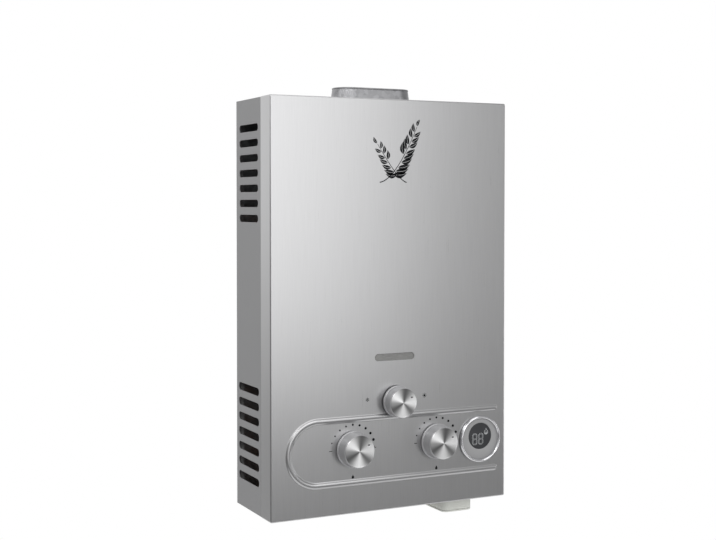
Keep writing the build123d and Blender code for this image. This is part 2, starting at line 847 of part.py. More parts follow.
with BuildPart() as valve_bracket:
    box_between((bracket_left, -bracket_from_wall, knob_z - bracket_half_height),
                (bracket_right, bracket_back, knob_z + bracket_half_height))
    for side, end in ((-1, bracket_left), (1, bracket_right)):
        box_between((min(end, end - side * bracket_sheet), bracket_back, knob_z - bracket_half_height),
                    (max(end, end - side * bracket_sheet), -back_face, knob_z + bracket_half_height))
        box_between((min(end, end - side * bracket_foot), -back_face - bracket_sheet,
                     knob_z - bracket_half_height),
                    (max(end, end - side * bracket_foot), -back_face, knob_z + bracket_half_height))
    box_between((switch_x - switch_width / 2, -bracket_from_wall, knob_z),
                (switch_x + switch_width / 2, bracket_back, switch_top + bracket_sheet))
    box_between((switch_x - switch_width / 2, valve_y - switch_depth / 2, switch_top),
                (switch_x + switch_width / 2, bracket_back, switch_top + bracket_sheet))
    for x in (gas_x, water_x):
        foot_screw_holes(x)
        for offset in (-feet_pitch / 2, feet_pitch / 2):
            rod_along((x + offset, bracket_back, knob_z), (0, -1, 0), screw_radius, bracket_sheet,
                      mode=Mode.SUBTRACT)
valve_bracket.part.label = "valve_bracket"

# ================================================================ ports under the casing
port_tip = -half_height - port_length

with BuildPart() as port_nipples:
    for x in port_xs:
        rod_along((x, valve_y, port_tip), (0, 0, 1), port_radius, bottom_inside - port_tip)
    with BuildSketch(Plane.XY.offset(bottom_inside)):
        with Locations(*[(x, valve_y) for x in port_xs]):
            RegularPolygon(port_hex / 2, 6, major_radius=False)
    extrude(amount=port_hex_height)
    for x in port_xs:
        rod_along((x, valve_y, port_tip), (0, 0, 1), port_bore, bottom_inside - port_tip, mode=Mode.SUBTRACT)
        rod_along((x, valve_y, bottom_inside), (0, 0, 1), tube_radius + braze_gap, port_hex_height,
                  mode=Mode.SUBTRACT)
    with BuildSketch(Plane.XY.offset(-panel_z - locknut_thickness)):
        with Locations(*[(x, valve_y) for x in port_xs]):
            Circle(port_radius + port_relief_depth)
            Circle(port_radius - port_relief_depth, mode=Mode.SUBTRACT)
    extrude(amount=-port_relief_width, mode=Mode.SUBTRACT)
port_nipples.part.label = "port_nipples"

with BuildPart() as port_locknuts:
    with BuildSketch(Plane.XY.offset(-panel_z)):
        with Locations(*[(x, valve_y) for x in port_xs]):
            RegularPolygon(locknut_across / 2, 6, major_radius=False)
            Circle(port_radius + braze_gap, mode=Mode.SUBTRACT)
    extrude(amount=-locknut_thickness)
port_locknuts.part.label = "port_locknuts"

with BuildPart() as inlet_filter:
    rod_along((water_x, valve_y, bottom_inside - filter_height), (0, 0, 1), filter_radius, filter_height)
    rod_along((water_x, valve_y, bottom_inside - filter_height), (0, 0, 1), filter_radius - filter_wall,
              filter_height - filter_wall, mode=Mode.SUBTRACT)
inlet_filter.part.label = "inlet_filter"

with BuildPart() as drain_plug:
    stem_bottom = -half_height - drain_below
    rod_along((drain_x, valve_y, stem_bottom), (0, 0, 1), drain_radius,
              drain_boss_bottom + drain_bore_depth - door_gap - stem_bottom)
    rod_along((drain_x, valve_y, stem_bottom), (0, 0, 1), drain_head_radius, drain_head_height)
drain_plug.part.label = "drain_plug"

# ================================================================ burner
bar_depth = burner_depth - 2 * burner_sheet - 2 * bar_end_gap
bar_bottom = burner_bottom + burner_sheet
bar_front_y = burner_mid_y - bar_depth / 2
bar_xs = [bar_pitch * (i - (bar_count - 1) / 2) for i in range(bar_count)]
bar_slot_pitch = bar_depth / bar_slot_count

with BuildPart() as burner_frame:
    with BuildSketch(Plane.XY.offset(burner_bottom)):
        with Locations((0, burner_mid_y)):
            Rectangle(2 * burner_half_width, burner_depth)
            Rectangle(2 * (burner_half_width - burner_sheet), burner_depth - 2 * burner_sheet,
                      mode=Mode.SUBTRACT)
    extrude(amount=burner_height)
    with BuildSketch(Plane.XY.offset(burner_bottom)):
        with Locations((0, burner_mid_y)):
            Rectangle(2 * burner_half_width, burner_depth)
            Rectangle(2 * (burner_half_width - burner_ledge), burner_depth - 2 * burner_ledge,
                      mode=Mode.SUBTRACT)
    extrude(amount=burner_sheet)
    with BuildSketch(Plane.XZ.offset(burner_front_from_wall)):
        with Locations(*[(x, season_z) for x in bar_xs]):
            Circle(venturi_radius)
    extrude(amount=-burner_sheet, mode=Mode.SUBTRACT)
burner_frame.part.label = "burner_frame"

with BuildPart() as burner_bars:
    with BuildSketch(Plane.XY.offset(bar_bottom)):
        with Locations(*[(x, burner_mid_y) for x in bar_xs]):
            Rectangle(bar_thickness, bar_depth)
    extrude(amount=burner_top - bar_bottom)
    with BuildSketch(Plane.XZ.offset(-bar_front_y)):
        with Locations(*[(x, season_z) for x in bar_xs]):
            Circle(venturi_radius)
    extrude(amount=-venturi_depth, mode=Mode.SUBTRACT)
    with BuildSketch(Plane.XY.offset(burner_top)):
        with Locations((0, burner_mid_y)):
            with GridLocations(bar_pitch, bar_slot_pitch, bar_count, bar_slot_count):
                Rectangle(bar_thickness - 2 * burner_sheet, bar_slot_width)
    extrude(amount=-bar_slot_depth, mode=Mode.SUBTRACT)
burner_bars.part.label = "burner_bars"

manifold_front = manifold_from_wall + manifold_depth

with BuildPart() as gas_manifold:
    box_between((-burner_half_width, -manifold_front, season_z - manifold_height / 2),
                (burner_half_width, -manifold_from_wall, season_z + manifold_height / 2))
    rod_along((season_x, -manifold_front, season_z), (0, -1, 0), season_body_radius, season_body_depth)
    for side in (-1, 1):
        leg_x = side * (burner_half_width - manifold_end / 2)
        box_between((leg_x - manifold_end / 2, -manifold_from_wall, season_z - manifold_height / 2),
                    (leg_x + manifold_end / 2, -burner_front_from_wall, season_z + manifold_height / 2))
    box_between((-burner_half_width + manifold_wall, -manifold_front + manifold_wall,
                 season_z - manifold_height / 2 + manifold_wall),
                (burner_half_width - manifold_wall, -manifold_from_wall - manifold_wall,
                 season_z + manifold_height / 2 - manifold_wall), mode=Mode.SUBTRACT)
    rod_along((season_x, -manifold_from_wall - manifold_wall, season_z), (0, -1, 0),
              shaft_radius + running_clearance, manifold_depth + season_body_depth, mode=Mode.SUBTRACT)
    for x in bar_xs:
        rod_along((x, -manifold_from_wall, season_z), (0, -1, 0), nozzle_radius, manifold_wall,
                  mode=Mode.SUBTRACT)
    rod_along((gas_x, -manifold_from_wall - manifold_depth / 2, season_z - manifold_height / 2),
              (0, 0, 1), gas_pipe_radius + braze_gap, manifold_wall, mode=Mode.SUBTRACT)
gas_manifold.part.label = "gas_manifold"

with BuildPart() as burner_nozzles:
    for x in bar_xs:
        rod_along((x, -manifold_from_wall - manifold_wall, season_z), (0, 1, 0), nozzle_radius,
                  manifold_wall + nozzle_reach)
        rod_along((x, -manifold_from_wall - manifold_wall, season_z), (0, 1, 0), nozzle_bore,
                  manifold_wall + nozzle_reach, mode=Mode.SUBTRACT)
burner_nozzles.part.label = "burner_nozzles"

feed_start = gas_outlet_top - gas_pipe_rise / 2
feed_level = gas_outlet_top + gas_pipe_bend + braze_gap
feed_y = -manifold_from_wall - manifold_depth / 2
feed_end = season_z - manifold_height / 2 + manifold_wall
feed_bends = [gas_pipe_bend, gas_pipe_bend]
gas_feed_pipe = bent_pipe([(gas_x, valve_y, feed_start), (gas_x, valve_y, feed_level),
                           (gas_x, feed_y, feed_level), (gas_x, feed_y, feed_end)],
                          feed_bends, gas_pipe_radius, gas_pipe_radius - tube_wall)
gas_feed_pipe.part.label = "gas_feed_pipe"

electrode_z = burner_top + electrode_rise
electrode_xs = (window_x - electrode_spacing / 2, window_x + electrode_spacing / 2)
electrode_front = burner_front_from_wall + electrode_outside

with BuildPart() as electrodes:
    for x in electrode_xs:
        rod_along((x, -electrode_front, electrode_z), (0, 1, 0), electrode_radius, electrode_length)
        rod_along((x, -electrode_front + electrode_length, electrode_z), (0, 1, 0), electrode_pin_radius,
                  electrode_pin_length)
electrodes.part.label = "electrodes"

# ================================================================ heat exchanger
shell_front = burner_front_from_wall
tube_ys = [burner_mid_y + tube_pitch * ((tube_count - 1) / 2 - i) for i in range(tube_count)]

with BuildPart() as exchanger_shell:
    with BuildSketch(Plane.XY.offset(burner_top)):
        with Locations((0, burner_mid_y)):
            Rectangle(2 * shell_half_width, burner_depth)
            Rectangle(2 * (shell_half_width - shell_sheet), burner_depth - 2 * shell_sheet,
                      mode=Mode.SUBTRACT)
    extrude(amount=shell_height)
    with BuildSketch(Plane.XZ.offset(shell_front)):
        with Locations((window_x, window_z)):
            SlotOverall(window_length, view_slot_height)
        with Locations(*[(x, electrode_z) for x in electrode_xs]):
            Circle(electrode_radius + braze_gap)
    extrude(amount=-shell_sheet, mode=Mode.SUBTRACT)
    with BuildSketch(Plane.YZ.offset(-shell_half_width)):
        with Locations(*[(y, tube_z) for y in tube_ys]):
            Circle(tube_radius + braze_gap)
    extrude(amount=2 * shell_half_width, mode=Mode.SUBTRACT)
exchanger_shell.part.label = "exchanger_shell"

fin_xs = [fin_pitch * (i - (fin_count - 1) / 2) for i in range(fin_count)]

with BuildPart() as exchanger_fins:
    with BuildSketch(*[Plane.YZ.offset(x - fin_sheet / 2) for x in fin_xs]):
        with Locations((burner_mid_y, tube_z)):
            Rectangle(burner_depth - 2 * shell_sheet - 2 * fin_gap, fin_height)
        with Locations(*[(y, tube_z) for y in tube_ys]):
            Circle(tube_radius + braze_gap, mode=Mode.SUBTRACT)
    extrude(amount=fin_sheet)
exchanger_fins.part.label = "exchanger_fins"

tube_end = shell_half_width + tube_overhang
bend_start = shell_half_width + fin_gap

with BuildPart() as exchanger_tubes:
    with BuildLine() as serpentine:
        for i, y in enumerate(tube_ys):
            side = 1 if i % 2 == 0 else -1
            begin = tube_end if i == 0 else bend_start
            finish = tube_end if i == tube_count - 1 else bend_start
            Line((side * begin, y, tube_z), (-side * finish, y, tube_z))
            if i < tube_count - 1:
                ThreePointArc((-side * finish, y, tube_z),
                              (-side * (finish + tube_pitch / 2), y - tube_pitch / 2, tube_z),
                              (-side * finish, y - tube_pitch, tube_z))
    with BuildSketch(Plane(origin=(tube_end, tube_ys[0], tube_z), z_dir=(-1, 0, 0))):
        Circle(tube_radius)
        Circle(tube_radius - tube_wall, mode=Mode.SUBTRACT)
    sweep(path=serpentine.line)
exchanger_tubes.part.label = "exchanger_tubes"

coil_x = shell_half_width + coil_out
coil_front = -(shell_front + coil_out)
coil_back = -(burner_back_from_wall - coil_out)
riser_x = tube_end + pipe_outset / 2
rear_y = tube_ys[0]
front_y = tube_ys[-1]
cold_route = [(outlet_end_x - pipe_insertion, valve_y, knob_z), (coil_x, valve_y, knob_z),
              (coil_x, valve_y, coil_z), (coil_x, coil_front, coil_z), (-coil_x, coil_front, coil_z),
              (-coil_x, coil_back, coil_z), (riser_x, coil_back, coil_z), (riser_x, rear_y, tube_z),
              (tube_end, rear_y, tube_z)]
cold_bends = [pipe_bend] * (len(cold_route) - 2)
cold_water_pipe = bent_pipe(cold_route, cold_bends, tube_radius, tube_radius - tube_wall)
cold_water_pipe.part.label = "cold_water_pipe"

hot_drop_z = knob_z - gas_body_radius
hot_join_z = port_hex_top + pipe_outset
hot_route = [(-tube_end, front_y, tube_z), (-riser_x, front_y, tube_z), (-riser_x, front_y, hot_drop_z),
             (hot_port_x, valve_y, hot_join_z), (hot_port_x, valve_y, port_hex_top - pipe_insertion)]
hot_bends = [pipe_bend, offset_bend, offset_bend]
hot_water_pipe = bent_pipe(hot_route, hot_bends, tube_radius, tube_radius - tube_wall)
hot_water_pipe.part.label = "hot_water_pipe"

thermostat_z = coil_z + coil_rise

with BuildPart() as thermostat:
    rod_along((thermostat_x, -shell_front, thermostat_z), (0, -1, 0), thermostat_radius, thermostat_height)
    rod_along((thermostat_x, -shell_front - thermostat_height, thermostat_z), (0, -1, 0),
              thermostat_radius / 2, sensor_wall)
thermostat.part.label = "thermostat"

sensor_z = burner_bottom
sensor_radius = tube_radius + sensor_wall

with BuildPart() as water_sensor:
    rod_along((-riser_x, front_y, sensor_z), (0, 0, 1), sensor_radius, sensor_length)
    rod_along((-riser_x, front_y, sensor_z), (0, 0, 1), tube_radius + braze_gap, sensor_length,
              mode=Mode.SUBTRACT)
water_sensor.part.label = "water_sensor"

# ================================================================ hood and collar
with BuildPart() as flue_hood:
    with BuildSketch(Plane.XY.offset(shell_top)):
        with Locations((0, burner_mid_y)):
            RectangleRounded(2 * shell_half_width, burner_depth, hood_corner)
    with BuildSketch(Plane.XY.offset(hood_top)):
        with Locations((0, flue_y)):
            RectangleRounded(duct_width, duct_across, duct_across / 2 - braze_gap)
    loft()
    with BuildSketch(Plane.XY.offset(hood_top)):
        with Locations((0, flue_y)):
            RectangleRounded(duct_width, duct_across, duct_across / 2 - braze_gap)
    extrude(amount=panel_z + flue_height / 2 - hood_top)
    with BuildSketch(Plane.XY.offset(shell_top)):
        with Locations((0, burner_mid_y)):
            RectangleRounded(2 * (shell_half_width - shell_sheet), burner_depth - 2 * shell_sheet,
                             hood_corner - shell_sheet)
    with BuildSketch(Plane.XY.offset(hood_top)):
        with Locations((0, flue_y)):
            RectangleRounded(duct_width - 2 * sheet, duct_across - 2 * sheet,
                             duct_across / 2 - sheet - braze_gap)
    loft(mode=Mode.SUBTRACT)
    with BuildSketch(Plane.XY.offset(hood_top)):
        with Locations((0, flue_y)):
            RectangleRounded(duct_width - 2 * sheet, duct_across - 2 * sheet,
                             duct_across / 2 - sheet - braze_gap)
    extrude(amount=panel_z + flue_height / 2 - hood_top, mode=Mode.SUBTRACT)
flue_hood.part.label = "flue_hood"

collar_top = half_height + flue_height
base_width = flue_width + 2 * flue_taper
base_across = flue_across + 2 * flue_taper

with BuildPart() as flue_collar:
    with BuildSketch(Plane.XY.offset(panel_z)):
        with Locations((0, flue_y)):
            SlotOverall(base_width + 2 * flue_rim, base_across + 2 * flue_rim)
    extrude(amount=sheet)
    with BuildSketch(Plane.XY.offset(panel_z)):
        with Locations((0, flue_y)):
            SlotOverall(base_width, base_across)
    with BuildSketch(Plane.XY.offset(collar_top)):
        with Locations((0, flue_y)):
            SlotOverall(flue_width, flue_across)
    loft()
    with BuildSketch(Plane.XY.offset(panel_z)):
        with Locations((0, flue_y)):
            SlotOverall(base_width - 2 * sheet, base_across - 2 * sheet)
    with BuildSketch(Plane.XY.offset(collar_top)):
        with Locations((0, flue_y)):
            SlotOverall(flue_width - 2 * sheet, flue_across - 2 * sheet)
    loft(mode=Mode.SUBTRACT)
flue_collar.part.label = "flue_collar"

# ================================================================ chassis brackets
chassis_lower_z = burner_bottom + chassis_height
chassis_upper_z = tube_z - chassis_height

with BuildPart() as chassis_brackets:
    for side in (-1, 1):
        for z in (chassis_lower_z, chassis_upper_z):
            outer_x = side * (burner_half_width - chassis_width / 2)
            web_x = outer_x - side * (chassis_width - chassis_sheet) / 2
            box_between((outer_x - chassis_width / 2, -burner_back_from_wall, z - chassis_height / 2),
                        (outer_x + chassis_width / 2, -back_face, z + chassis_height / 2))
            box_between((min(web_x + side * chassis_sheet / 2, outer_x + side * chassis_width / 2),
                         -burner_back_from_wall + chassis_sheet, z - chassis_height / 2),
                        (max(web_x + side * chassis_sheet / 2, outer_x + side * chassis_width / 2),
                         -back_face - chassis_sheet, z + chassis_height / 2), mode=Mode.SUBTRACT)
chassis_brackets.part.label = "chassis_brackets"

# ================================================================ igniter box
igniter_right = panel_x - sheet
igniter_bottom = knob_z + igniter_above_valves
igniter_mid_y = -(igniter_from_wall + igniter_depth / 2)

with BuildPart() as igniter_box:
    with BuildSketch(Plane.YZ.offset(igniter_right)):
        with Locations((igniter_mid_y, igniter_bottom + igniter_height / 2)):
            Rectangle(igniter_depth, igniter_height)
    extrude(amount=-igniter_width)
    fillet(igniter_box.faces().sort_by(Axis.X)[0].edges(), igniter_wall)
    with BuildSketch(Plane.YZ.offset(igniter_right)):
        with Locations((igniter_mid_y, igniter_bottom + igniter_height / 2)):
            Rectangle(igniter_depth - 2 * igniter_wall, igniter_height - 2 * igniter_wall)
    extrude(amount=-(igniter_width - igniter_wall), mode=Mode.SUBTRACT)
igniter_box.part.label = "igniter_box"

# ================================================================ battery compartment
battery_top = -half_height + battery_inside
door_top = battery_bottom + door_thickness
box_bottom = door_top + door_gap
hinge_y = -battery_from_wall + door_knuckle_radius + door_gap
hinge_z = door_top + door_gap / 2
lug_width = (battery_width - door_knuckle_width) / 2 - door_side_gap - battery_corner

with BuildPart() as battery_box:
    with BuildSketch(Plane.XY.offset(box_bottom)):
        with Locations((battery_x, battery_y)):
            RectangleRounded(battery_width, battery_depth, battery_corner)
    extrude(amount=battery_top - box_bottom)
    with BuildSketch(Plane.XY.offset(box_bottom)):
        with Locations((battery_x, battery_y)):
            RectangleRounded(battery_width - 2 * battery_wall, battery_depth - 2 * battery_wall,
                             battery_corner - battery_wall)
    extrude(amount=battery_top - box_bottom - battery_wall, mode=Mode.SUBTRACT)
    for side in (-1, 1):
        lug_start = battery_x + side * (door_knuckle_width / 2 + door_side_gap)
        rod_along((lug_start, hinge_y, hinge_z), (side, 0, 0), door_knuckle_radius, lug_width)
        lug_low = min(lug_start, lug_start + side * lug_width)
        box_between((lug_low, -battery_from_wall, box_bottom),
                    (lug_low + lug_width, hinge_y, hinge_z + door_knuckle_radius))
    pin_half = door_knuckle_width / 2 + door_side_gap
    rod_along((battery_x - pin_half, hinge_y, hinge_z), (1, 0, 0), door_pin_radius, 2 * pin_half)
battery_box.part.label = "battery_box"

with BuildPart() as battery_door:
    with BuildSketch(Plane.XY.offset(battery_bottom)):
        with Locations((battery_x, battery_y)):
            RectangleRounded(battery_width, battery_depth, battery_corner)
    extrude(amount=door_thickness)
    box_between((battery_x - door_knuckle_width / 2, -battery_from_wall - door_thickness, battery_bottom),
                (battery_x + door_knuckle_width / 2, hinge_y, door_top))
    rod_along((battery_x - door_knuckle_width / 2, hinge_y, hinge_z), (1, 0, 0), door_knuckle_radius,
              door_knuckle_width)
    rod_along((battery_x - door_knuckle_width / 2, hinge_y, hinge_z), (1, 0, 0),
              door_pin_radius + running_clearance, door_knuckle_width, mode=Mode.SUBTRACT)
battery_door.part.label = "battery_door"

cell_bottom = door_top + door_gap
cell_ys = (battery_y - cell_radius - lens_clearance / 2, battery_y + cell_radius + lens_clearance / 2)

with BuildPart() as battery_cells:
    for y in cell_ys:
        rod_along((battery_x, y, cell_bottom), (0, 0, 1), cell_radius, cell_length - cell_tip_height)
        rod_along((battery_x, y, cell_bottom), (0, 0, 1), cell_tip_radius, cell_length)
battery_cells.part.label = "battery_cells"

cell_top = cell_bottom + cell_length
cell_spring_low = cell_top + cell_spring_wire + braze_gap
cell_spring_height = battery_top - battery_wall - braze_gap - cell_spring_wire - cell_spring_low

with BuildPart() as cell_springs:
    for y in cell_ys:
        with BuildLine() as coil:
            Helix(cell_spring_height / cell_spring_turns, cell_spring_height, cell_spring_radius,
                  center=(battery_x, y, cell_spring_low))
        with BuildSketch(Plane(origin=coil.line @ 0, z_dir=coil.line % 0)):
            Circle(cell_spring_wire)
        sweep(path=coil.line, is_frenet=True)
cell_springs.part.label = "cell_springs"

# ================================================================ internal leads
def leads(routes):
    """A group of insulated wires, each through its own corner points."""
    with BuildPart() as group:
        for points in routes:
            add(bent_pipe(points, [lead_bend] * (len(points) - 2), lead_radius).part)
    return group


igniter_left = igniter_right - igniter_width
lead_layer = -(electrode_front + lead_spread)
turn_y = -(igniter_from_wall + igniter_depth - lead_spread)
turn_x = igniter_left - lead_run
corner_x = shell_half_width + lead_radius + lead_gap
lower_z = electrode_z - lead_spread
left_electrode_x, right_electrode_x = electrode_xs

electrode_leads = leads([
    [(igniter_left, turn_y, electrode_z), (turn_x, turn_y, electrode_z), (corner_x, lead_layer, electrode_z),
     (right_electrode_x, lead_layer, electrode_z), (right_electrode_x, -electrode_front, electrode_z)],
    [(igniter_left, turn_y, lower_z), (turn_x, turn_y, lower_z), (corner_x, lead_layer, lower_z),
     (left_electrode_x + lead_run, lead_layer, lower_z), (left_electrode_x, lead_layer, electrode_z),
     (left_electrode_x, -electrode_front, electrode_z)],
])
electrode_leads.part.label = "electrode_leads"

loom_z = switch_top - lead_radius - lead_gap
loom_y = valve_y - lead_climb + lead_gap
rear_loom_y = valve_y + rear_loom_run
switch_right = switch_x + switch_width / 2
switch_left = switch_x - switch_width / 2
climb_z = igniter_bottom - lead_climb
battery_lead_x = battery_x + battery_width / 4
battery_lead_y = -(battery_from_wall + battery_depth - lead_spread)
switch_lead_x = igniter_left + lead_run / 2
display_lead_x = igniter_right - display_lead_inset
display_lead_y = turn_y
solenoid_end = left_body_x - solenoid_length - solenoid_cap
board_rear = -(casing_depth - board_from_cover)
board_lead_z = display_z + lead_spread

control_leads = leads([
    [(battery_lead_x, battery_lead_y, battery_top), (battery_lead_x, battery_lead_y, loom_z),
     (switch_lead_x + lead_run / 2, battery_lead_y, climb_z),
     (switch_lead_x + lead_run / 2, battery_lead_y, igniter_bottom)],
    [(switch_right, valve_y, loom_z), (switch_right + lead_run, valve_y, loom_z),
     (switch_right + switch_lead_run, loom_y, loom_z), (battery_lead_x, loom_y, loom_z),
     (switch_lead_x, loom_y, climb_z), (switch_lead_x, loom_y, igniter_bottom)],
    [(display_x, board_rear, board_lead_z), (display_x, display_lead_y, board_lead_z),
     (display_lead_x, display_lead_y, climb_z), (display_lead_x, display_lead_y, igniter_bottom)],
    [(solenoid_end, valve_y, knob_z), (solenoid_end - lead_run, valve_y, knob_z),
     (solenoid_end - lead_run, rear_loom_y, loom_z), (gas_x, rear_loom_y, loom_z),
     (switch_left - lead_run, valve_y, loom_z), (switch_left, valve_y, loom_z)],
])
control_leads.part.label = "control_leads"

# ================================================================ screws
with BuildPart() as machine_screws:
    for x, y in cover_screw_spots:
        rod_along((x, y, -half_height), (0, 0, 1), screw_radius, screw_length)
        rod_along((x, y, -half_height), (0, 0, -1), screw_head_radius, screw_head_height)
    for x, z in foot_screw_spots:
        for offset in (-feet_pitch / 2, feet_pitch / 2):
            rod_along((x + offset, bracket_back, z), (0, -1, 0), screw_radius, screw_length)
            rod_along((x + offset, bracket_back, z), (0, 1, 0), screw_head_radius, screw_head_height)
machine_screws.part.label = "machine_screws"

# ================================================================ files
pieces = [
    back_panel, left_side_panel, right_side_panel, top_panel, bottom_panel, front_cover,
    sight_glass, sight_glass_frame,
    gas_knob, gas_knob_face, gas_spindle, water_knob, water_knob_face, water_spindle,
    season_knob, season_knob_face, season_spindle,
    display_bezel, display_housing, display_lens, display_board,
    gas_valve_body, solenoid_valve, water_valve_body, diaphragm, diaphragm_cover, diaphragm_screws,
    push_rod, push_rod_spring, micro_switch, switch_lever, valve_bracket,
    port_nipples, port_locknuts, inlet_filter, drain_plug,
    burner_frame, burner_bars, gas_manifold, burner_nozzles, gas_feed_pipe, electrodes,
    exchanger_shell, exchanger_fins, exchanger_tubes, cold_water_pipe, hot_water_pipe,
    thermostat, water_sensor, flue_hood, flue_collar, chassis_brackets,
    igniter_box, battery_box, battery_door, battery_cells, cell_springs,
    electrode_leads, control_leads, machine_screws,
]
os.makedirs("parts", exist_ok=True)
for piece in pieces:
    export_step(piece.part, f"parts/{piece.part.label}.step")
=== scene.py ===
"""Looks of a wall-hung gas water heater, built round its solid frame.

Metres, in the frame of the solid model: the wall is Y = 0, the front faces -Y and +Z is up.
"""
import math

import bmesh
import bpy
from bpy.props import FloatProperty, FloatVectorProperty, IntProperty, PointerProperty
from bpy.types import Operator, Panel, PropertyGroup
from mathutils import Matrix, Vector
from mathutils.geometry import delaunay_2d_cdt, interpolate_bezier, tessellate_polygon


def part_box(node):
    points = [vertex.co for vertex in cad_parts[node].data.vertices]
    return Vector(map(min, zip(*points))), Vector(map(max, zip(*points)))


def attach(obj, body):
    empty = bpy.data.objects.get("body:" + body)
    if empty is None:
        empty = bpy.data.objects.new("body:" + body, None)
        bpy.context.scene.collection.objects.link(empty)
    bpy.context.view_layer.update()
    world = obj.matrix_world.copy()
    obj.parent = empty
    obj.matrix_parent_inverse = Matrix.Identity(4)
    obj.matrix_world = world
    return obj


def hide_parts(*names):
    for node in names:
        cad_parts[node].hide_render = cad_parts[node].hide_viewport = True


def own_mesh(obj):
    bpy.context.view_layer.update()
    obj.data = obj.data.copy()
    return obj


bl_info = {
    "name": "Wall-hung gas water heater",
    "version": (1, 0, 0),
    "blender": (4, 5, 0),
    "location": "3D View > Sidebar > Water heater",
    "description": "Finishes the casing, controls, display, ports and inner works of a gas water heater",
    "category": "Add Mesh",
}

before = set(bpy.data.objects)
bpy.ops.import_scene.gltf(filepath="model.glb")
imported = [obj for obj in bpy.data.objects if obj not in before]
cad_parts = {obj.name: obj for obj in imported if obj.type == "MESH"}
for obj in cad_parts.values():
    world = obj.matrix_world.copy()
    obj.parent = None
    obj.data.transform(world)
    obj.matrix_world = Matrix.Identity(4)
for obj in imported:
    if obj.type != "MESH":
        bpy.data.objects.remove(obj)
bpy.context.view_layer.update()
MM = 0.001
MERGE = 1e-7    # points nearer to each other than this are one
BODY = "heater"


# ---------------------------------------------------------------- places taken from the frame
def node_middle(node):
    """The middle of a solid's box."""
    low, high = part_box(node)
    return (low + high) / 2


def front_plane():
    """How far the flat of the front sheet stands from the wall."""
    return -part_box("display_bezel")[1].y


COVER_LOW, COVER_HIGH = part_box("front_cover")

# each control's knob, the knob's face and the body that they turn with
KNOBS = {
    "gas": ("gas_knob", "gas_knob_face", "gas_control"),
    "water": ("water_knob", "water_knob_face", "water_control"),
    "season": ("season_knob", "season_knob_face", "season_control"),
}


# ---------------------------------------------------------------- settings
def length(name, description, default, **more):
    """A length property in metres."""
    return FloatProperty(name=name, description=description, default=default, unit="LENGTH",
                         precision=5, **more)


def colour(name, description, default):
    """A linear colour property."""
    return FloatVectorProperty(name=name, description=description, default=default, size=3,
                               subtype="COLOR", min=0, max=1)


class HeaterCasing(PropertyGroup):
    """Sizes of the casing's sheets."""
    sheet: length("Sheet", "Thickness of the casing's sheet", 0.8 * MM)
    bend: length("Bend", "Outer radius of the front cover's bends", 1.8 * MM)
    corner: length("Corner", "Radius of the flat front's corners", 0.4 * MM)
    bead_height: length("Bead height", "How far the pressed bead stands proud", 1.2 * MM)
    bead_width: length("Bead width", "Width of the pressed bead", 8.0 * MM)
    bead_crown: FloatProperty(name="Bead crown", description="Share of the bead's width to each side that is "
                              "its flat crown", default=0.20, min=0, max=0.5)
    bead_radius: length("Bead radius", "Radius of the bead's round end, at its middle", 39.8 * MM)
    bead_arc_x: length("Bead arc", "Where the bead's round end is centred", -104.0 * MM)
    bead_end_x: length("Bead end", "Where the bead's straight runs end", 152.0 * MM)
    bead_drop: length("Bead drop", "How far the bead's middle lies below the knobs", 2.5 * MM)
    window_length: length("Window length", "Length of the sight window", 56.6 * MM)
    window_height: length("Window height", "Height of the sight window", 9.3 * MM)
    shaft_hole: length("Spindle hole", "Radius of the holes for the spindles", 5.0 * MM)
    display_hole: length("Display hole", "Radius of the hole for the display", 24.0 * MM)


class HeaterControls(PropertyGroup):
    """Sizes of the knobs and the display."""
    skirt: length("Skirt", "Height of a knob's skirt", 2.6 * MM)
    rim: length("Rim", "Rounding of a knob's front edge", 0.7 * MM)
    dimple_angle: FloatProperty(name="Pointer", description="Where the pointers stand at rest",
                                default=math.radians(30), subtype="ANGLE")
    dimple_reach: FloatProperty(name="Pointer reach", description="Where the pointer stands between a face's "
                                "middle and its edge", default=0.735, min=0, max=1)
    dimple_length: length("Pointer length", "Length of the pointer's dimple", 4.2 * MM)
    dimple_width: length("Pointer width", "Width of the pointer's dimple", 2.6 * MM)
    lens_radius: length("Lens radius", "Radius of the display's dark lens", 17.2 * MM)
    digit_height: length("Digit height", "Height of the display's digits", 13.4 * MM)


class HeaterMarks(PropertyGroup):
    """Sizes of the printed marks."""
    ink: length("Ink", "Thickness of the print", 0.04 * MM)
    dot_count: IntProperty(name="Dots", description="Dots in a knob's scale", default=9, min=2)
    dot_start: FloatProperty(name="First dot", description="Where a knob's scale starts",
                             default=math.radians(162), subtype="ANGLE")
    dot_sweep: FloatProperty(name="Scale sweep", description="How far a knob's scale reaches",
                             default=math.radians(-144), subtype="ANGLE")
    dot_circle: length("Dot circle", "Radius of the circle of dots", 30.4 * MM)
    dot_smallest: length("Smallest dot", "Radius of the first dot", 0.92 * MM)
    dot_largest: length("Largest dot", "Radius of the last dot", 1.85 * MM)
    sprig_x: length("Sprig X", "Middle of the leaf print", 4.0 * MM)
    sprig_z: length("Sprig Z", "Foot of the leaf print", 155.0 * MM)
    sprig_height: length("Sprig height", "Height of the leaf print", 76.0 * MM)


class HeaterFinish(PropertyGroup):
    """Colours of the finishes."""
    stainless: colour("Stainless", "Brushed front sheet", (0.50, 0.50, 0.505))
    paint: colour("Paint", "Grey paint of the casing", (0.275, 0.275, 0.28))
    satin: colour("Satin chrome", "Sides of the knobs", (0.44, 0.44, 0.45))
    spun: colour("Spun aluminium", "Faces of the knobs", (0.96, 0.96, 0.965))
    ink: colour("Ink", "Printed marks", (0.008, 0.008, 0.009))
    white: colour("White plastic", "Battery compartment", (0.68, 0.69, 0.645))
    brass: colour("Brass", "Ports and valve", (0.62, 0.44, 0.18))
    copper: colour("Copper", "Heat exchanger and pipes", (0.63, 0.30, 0.19))


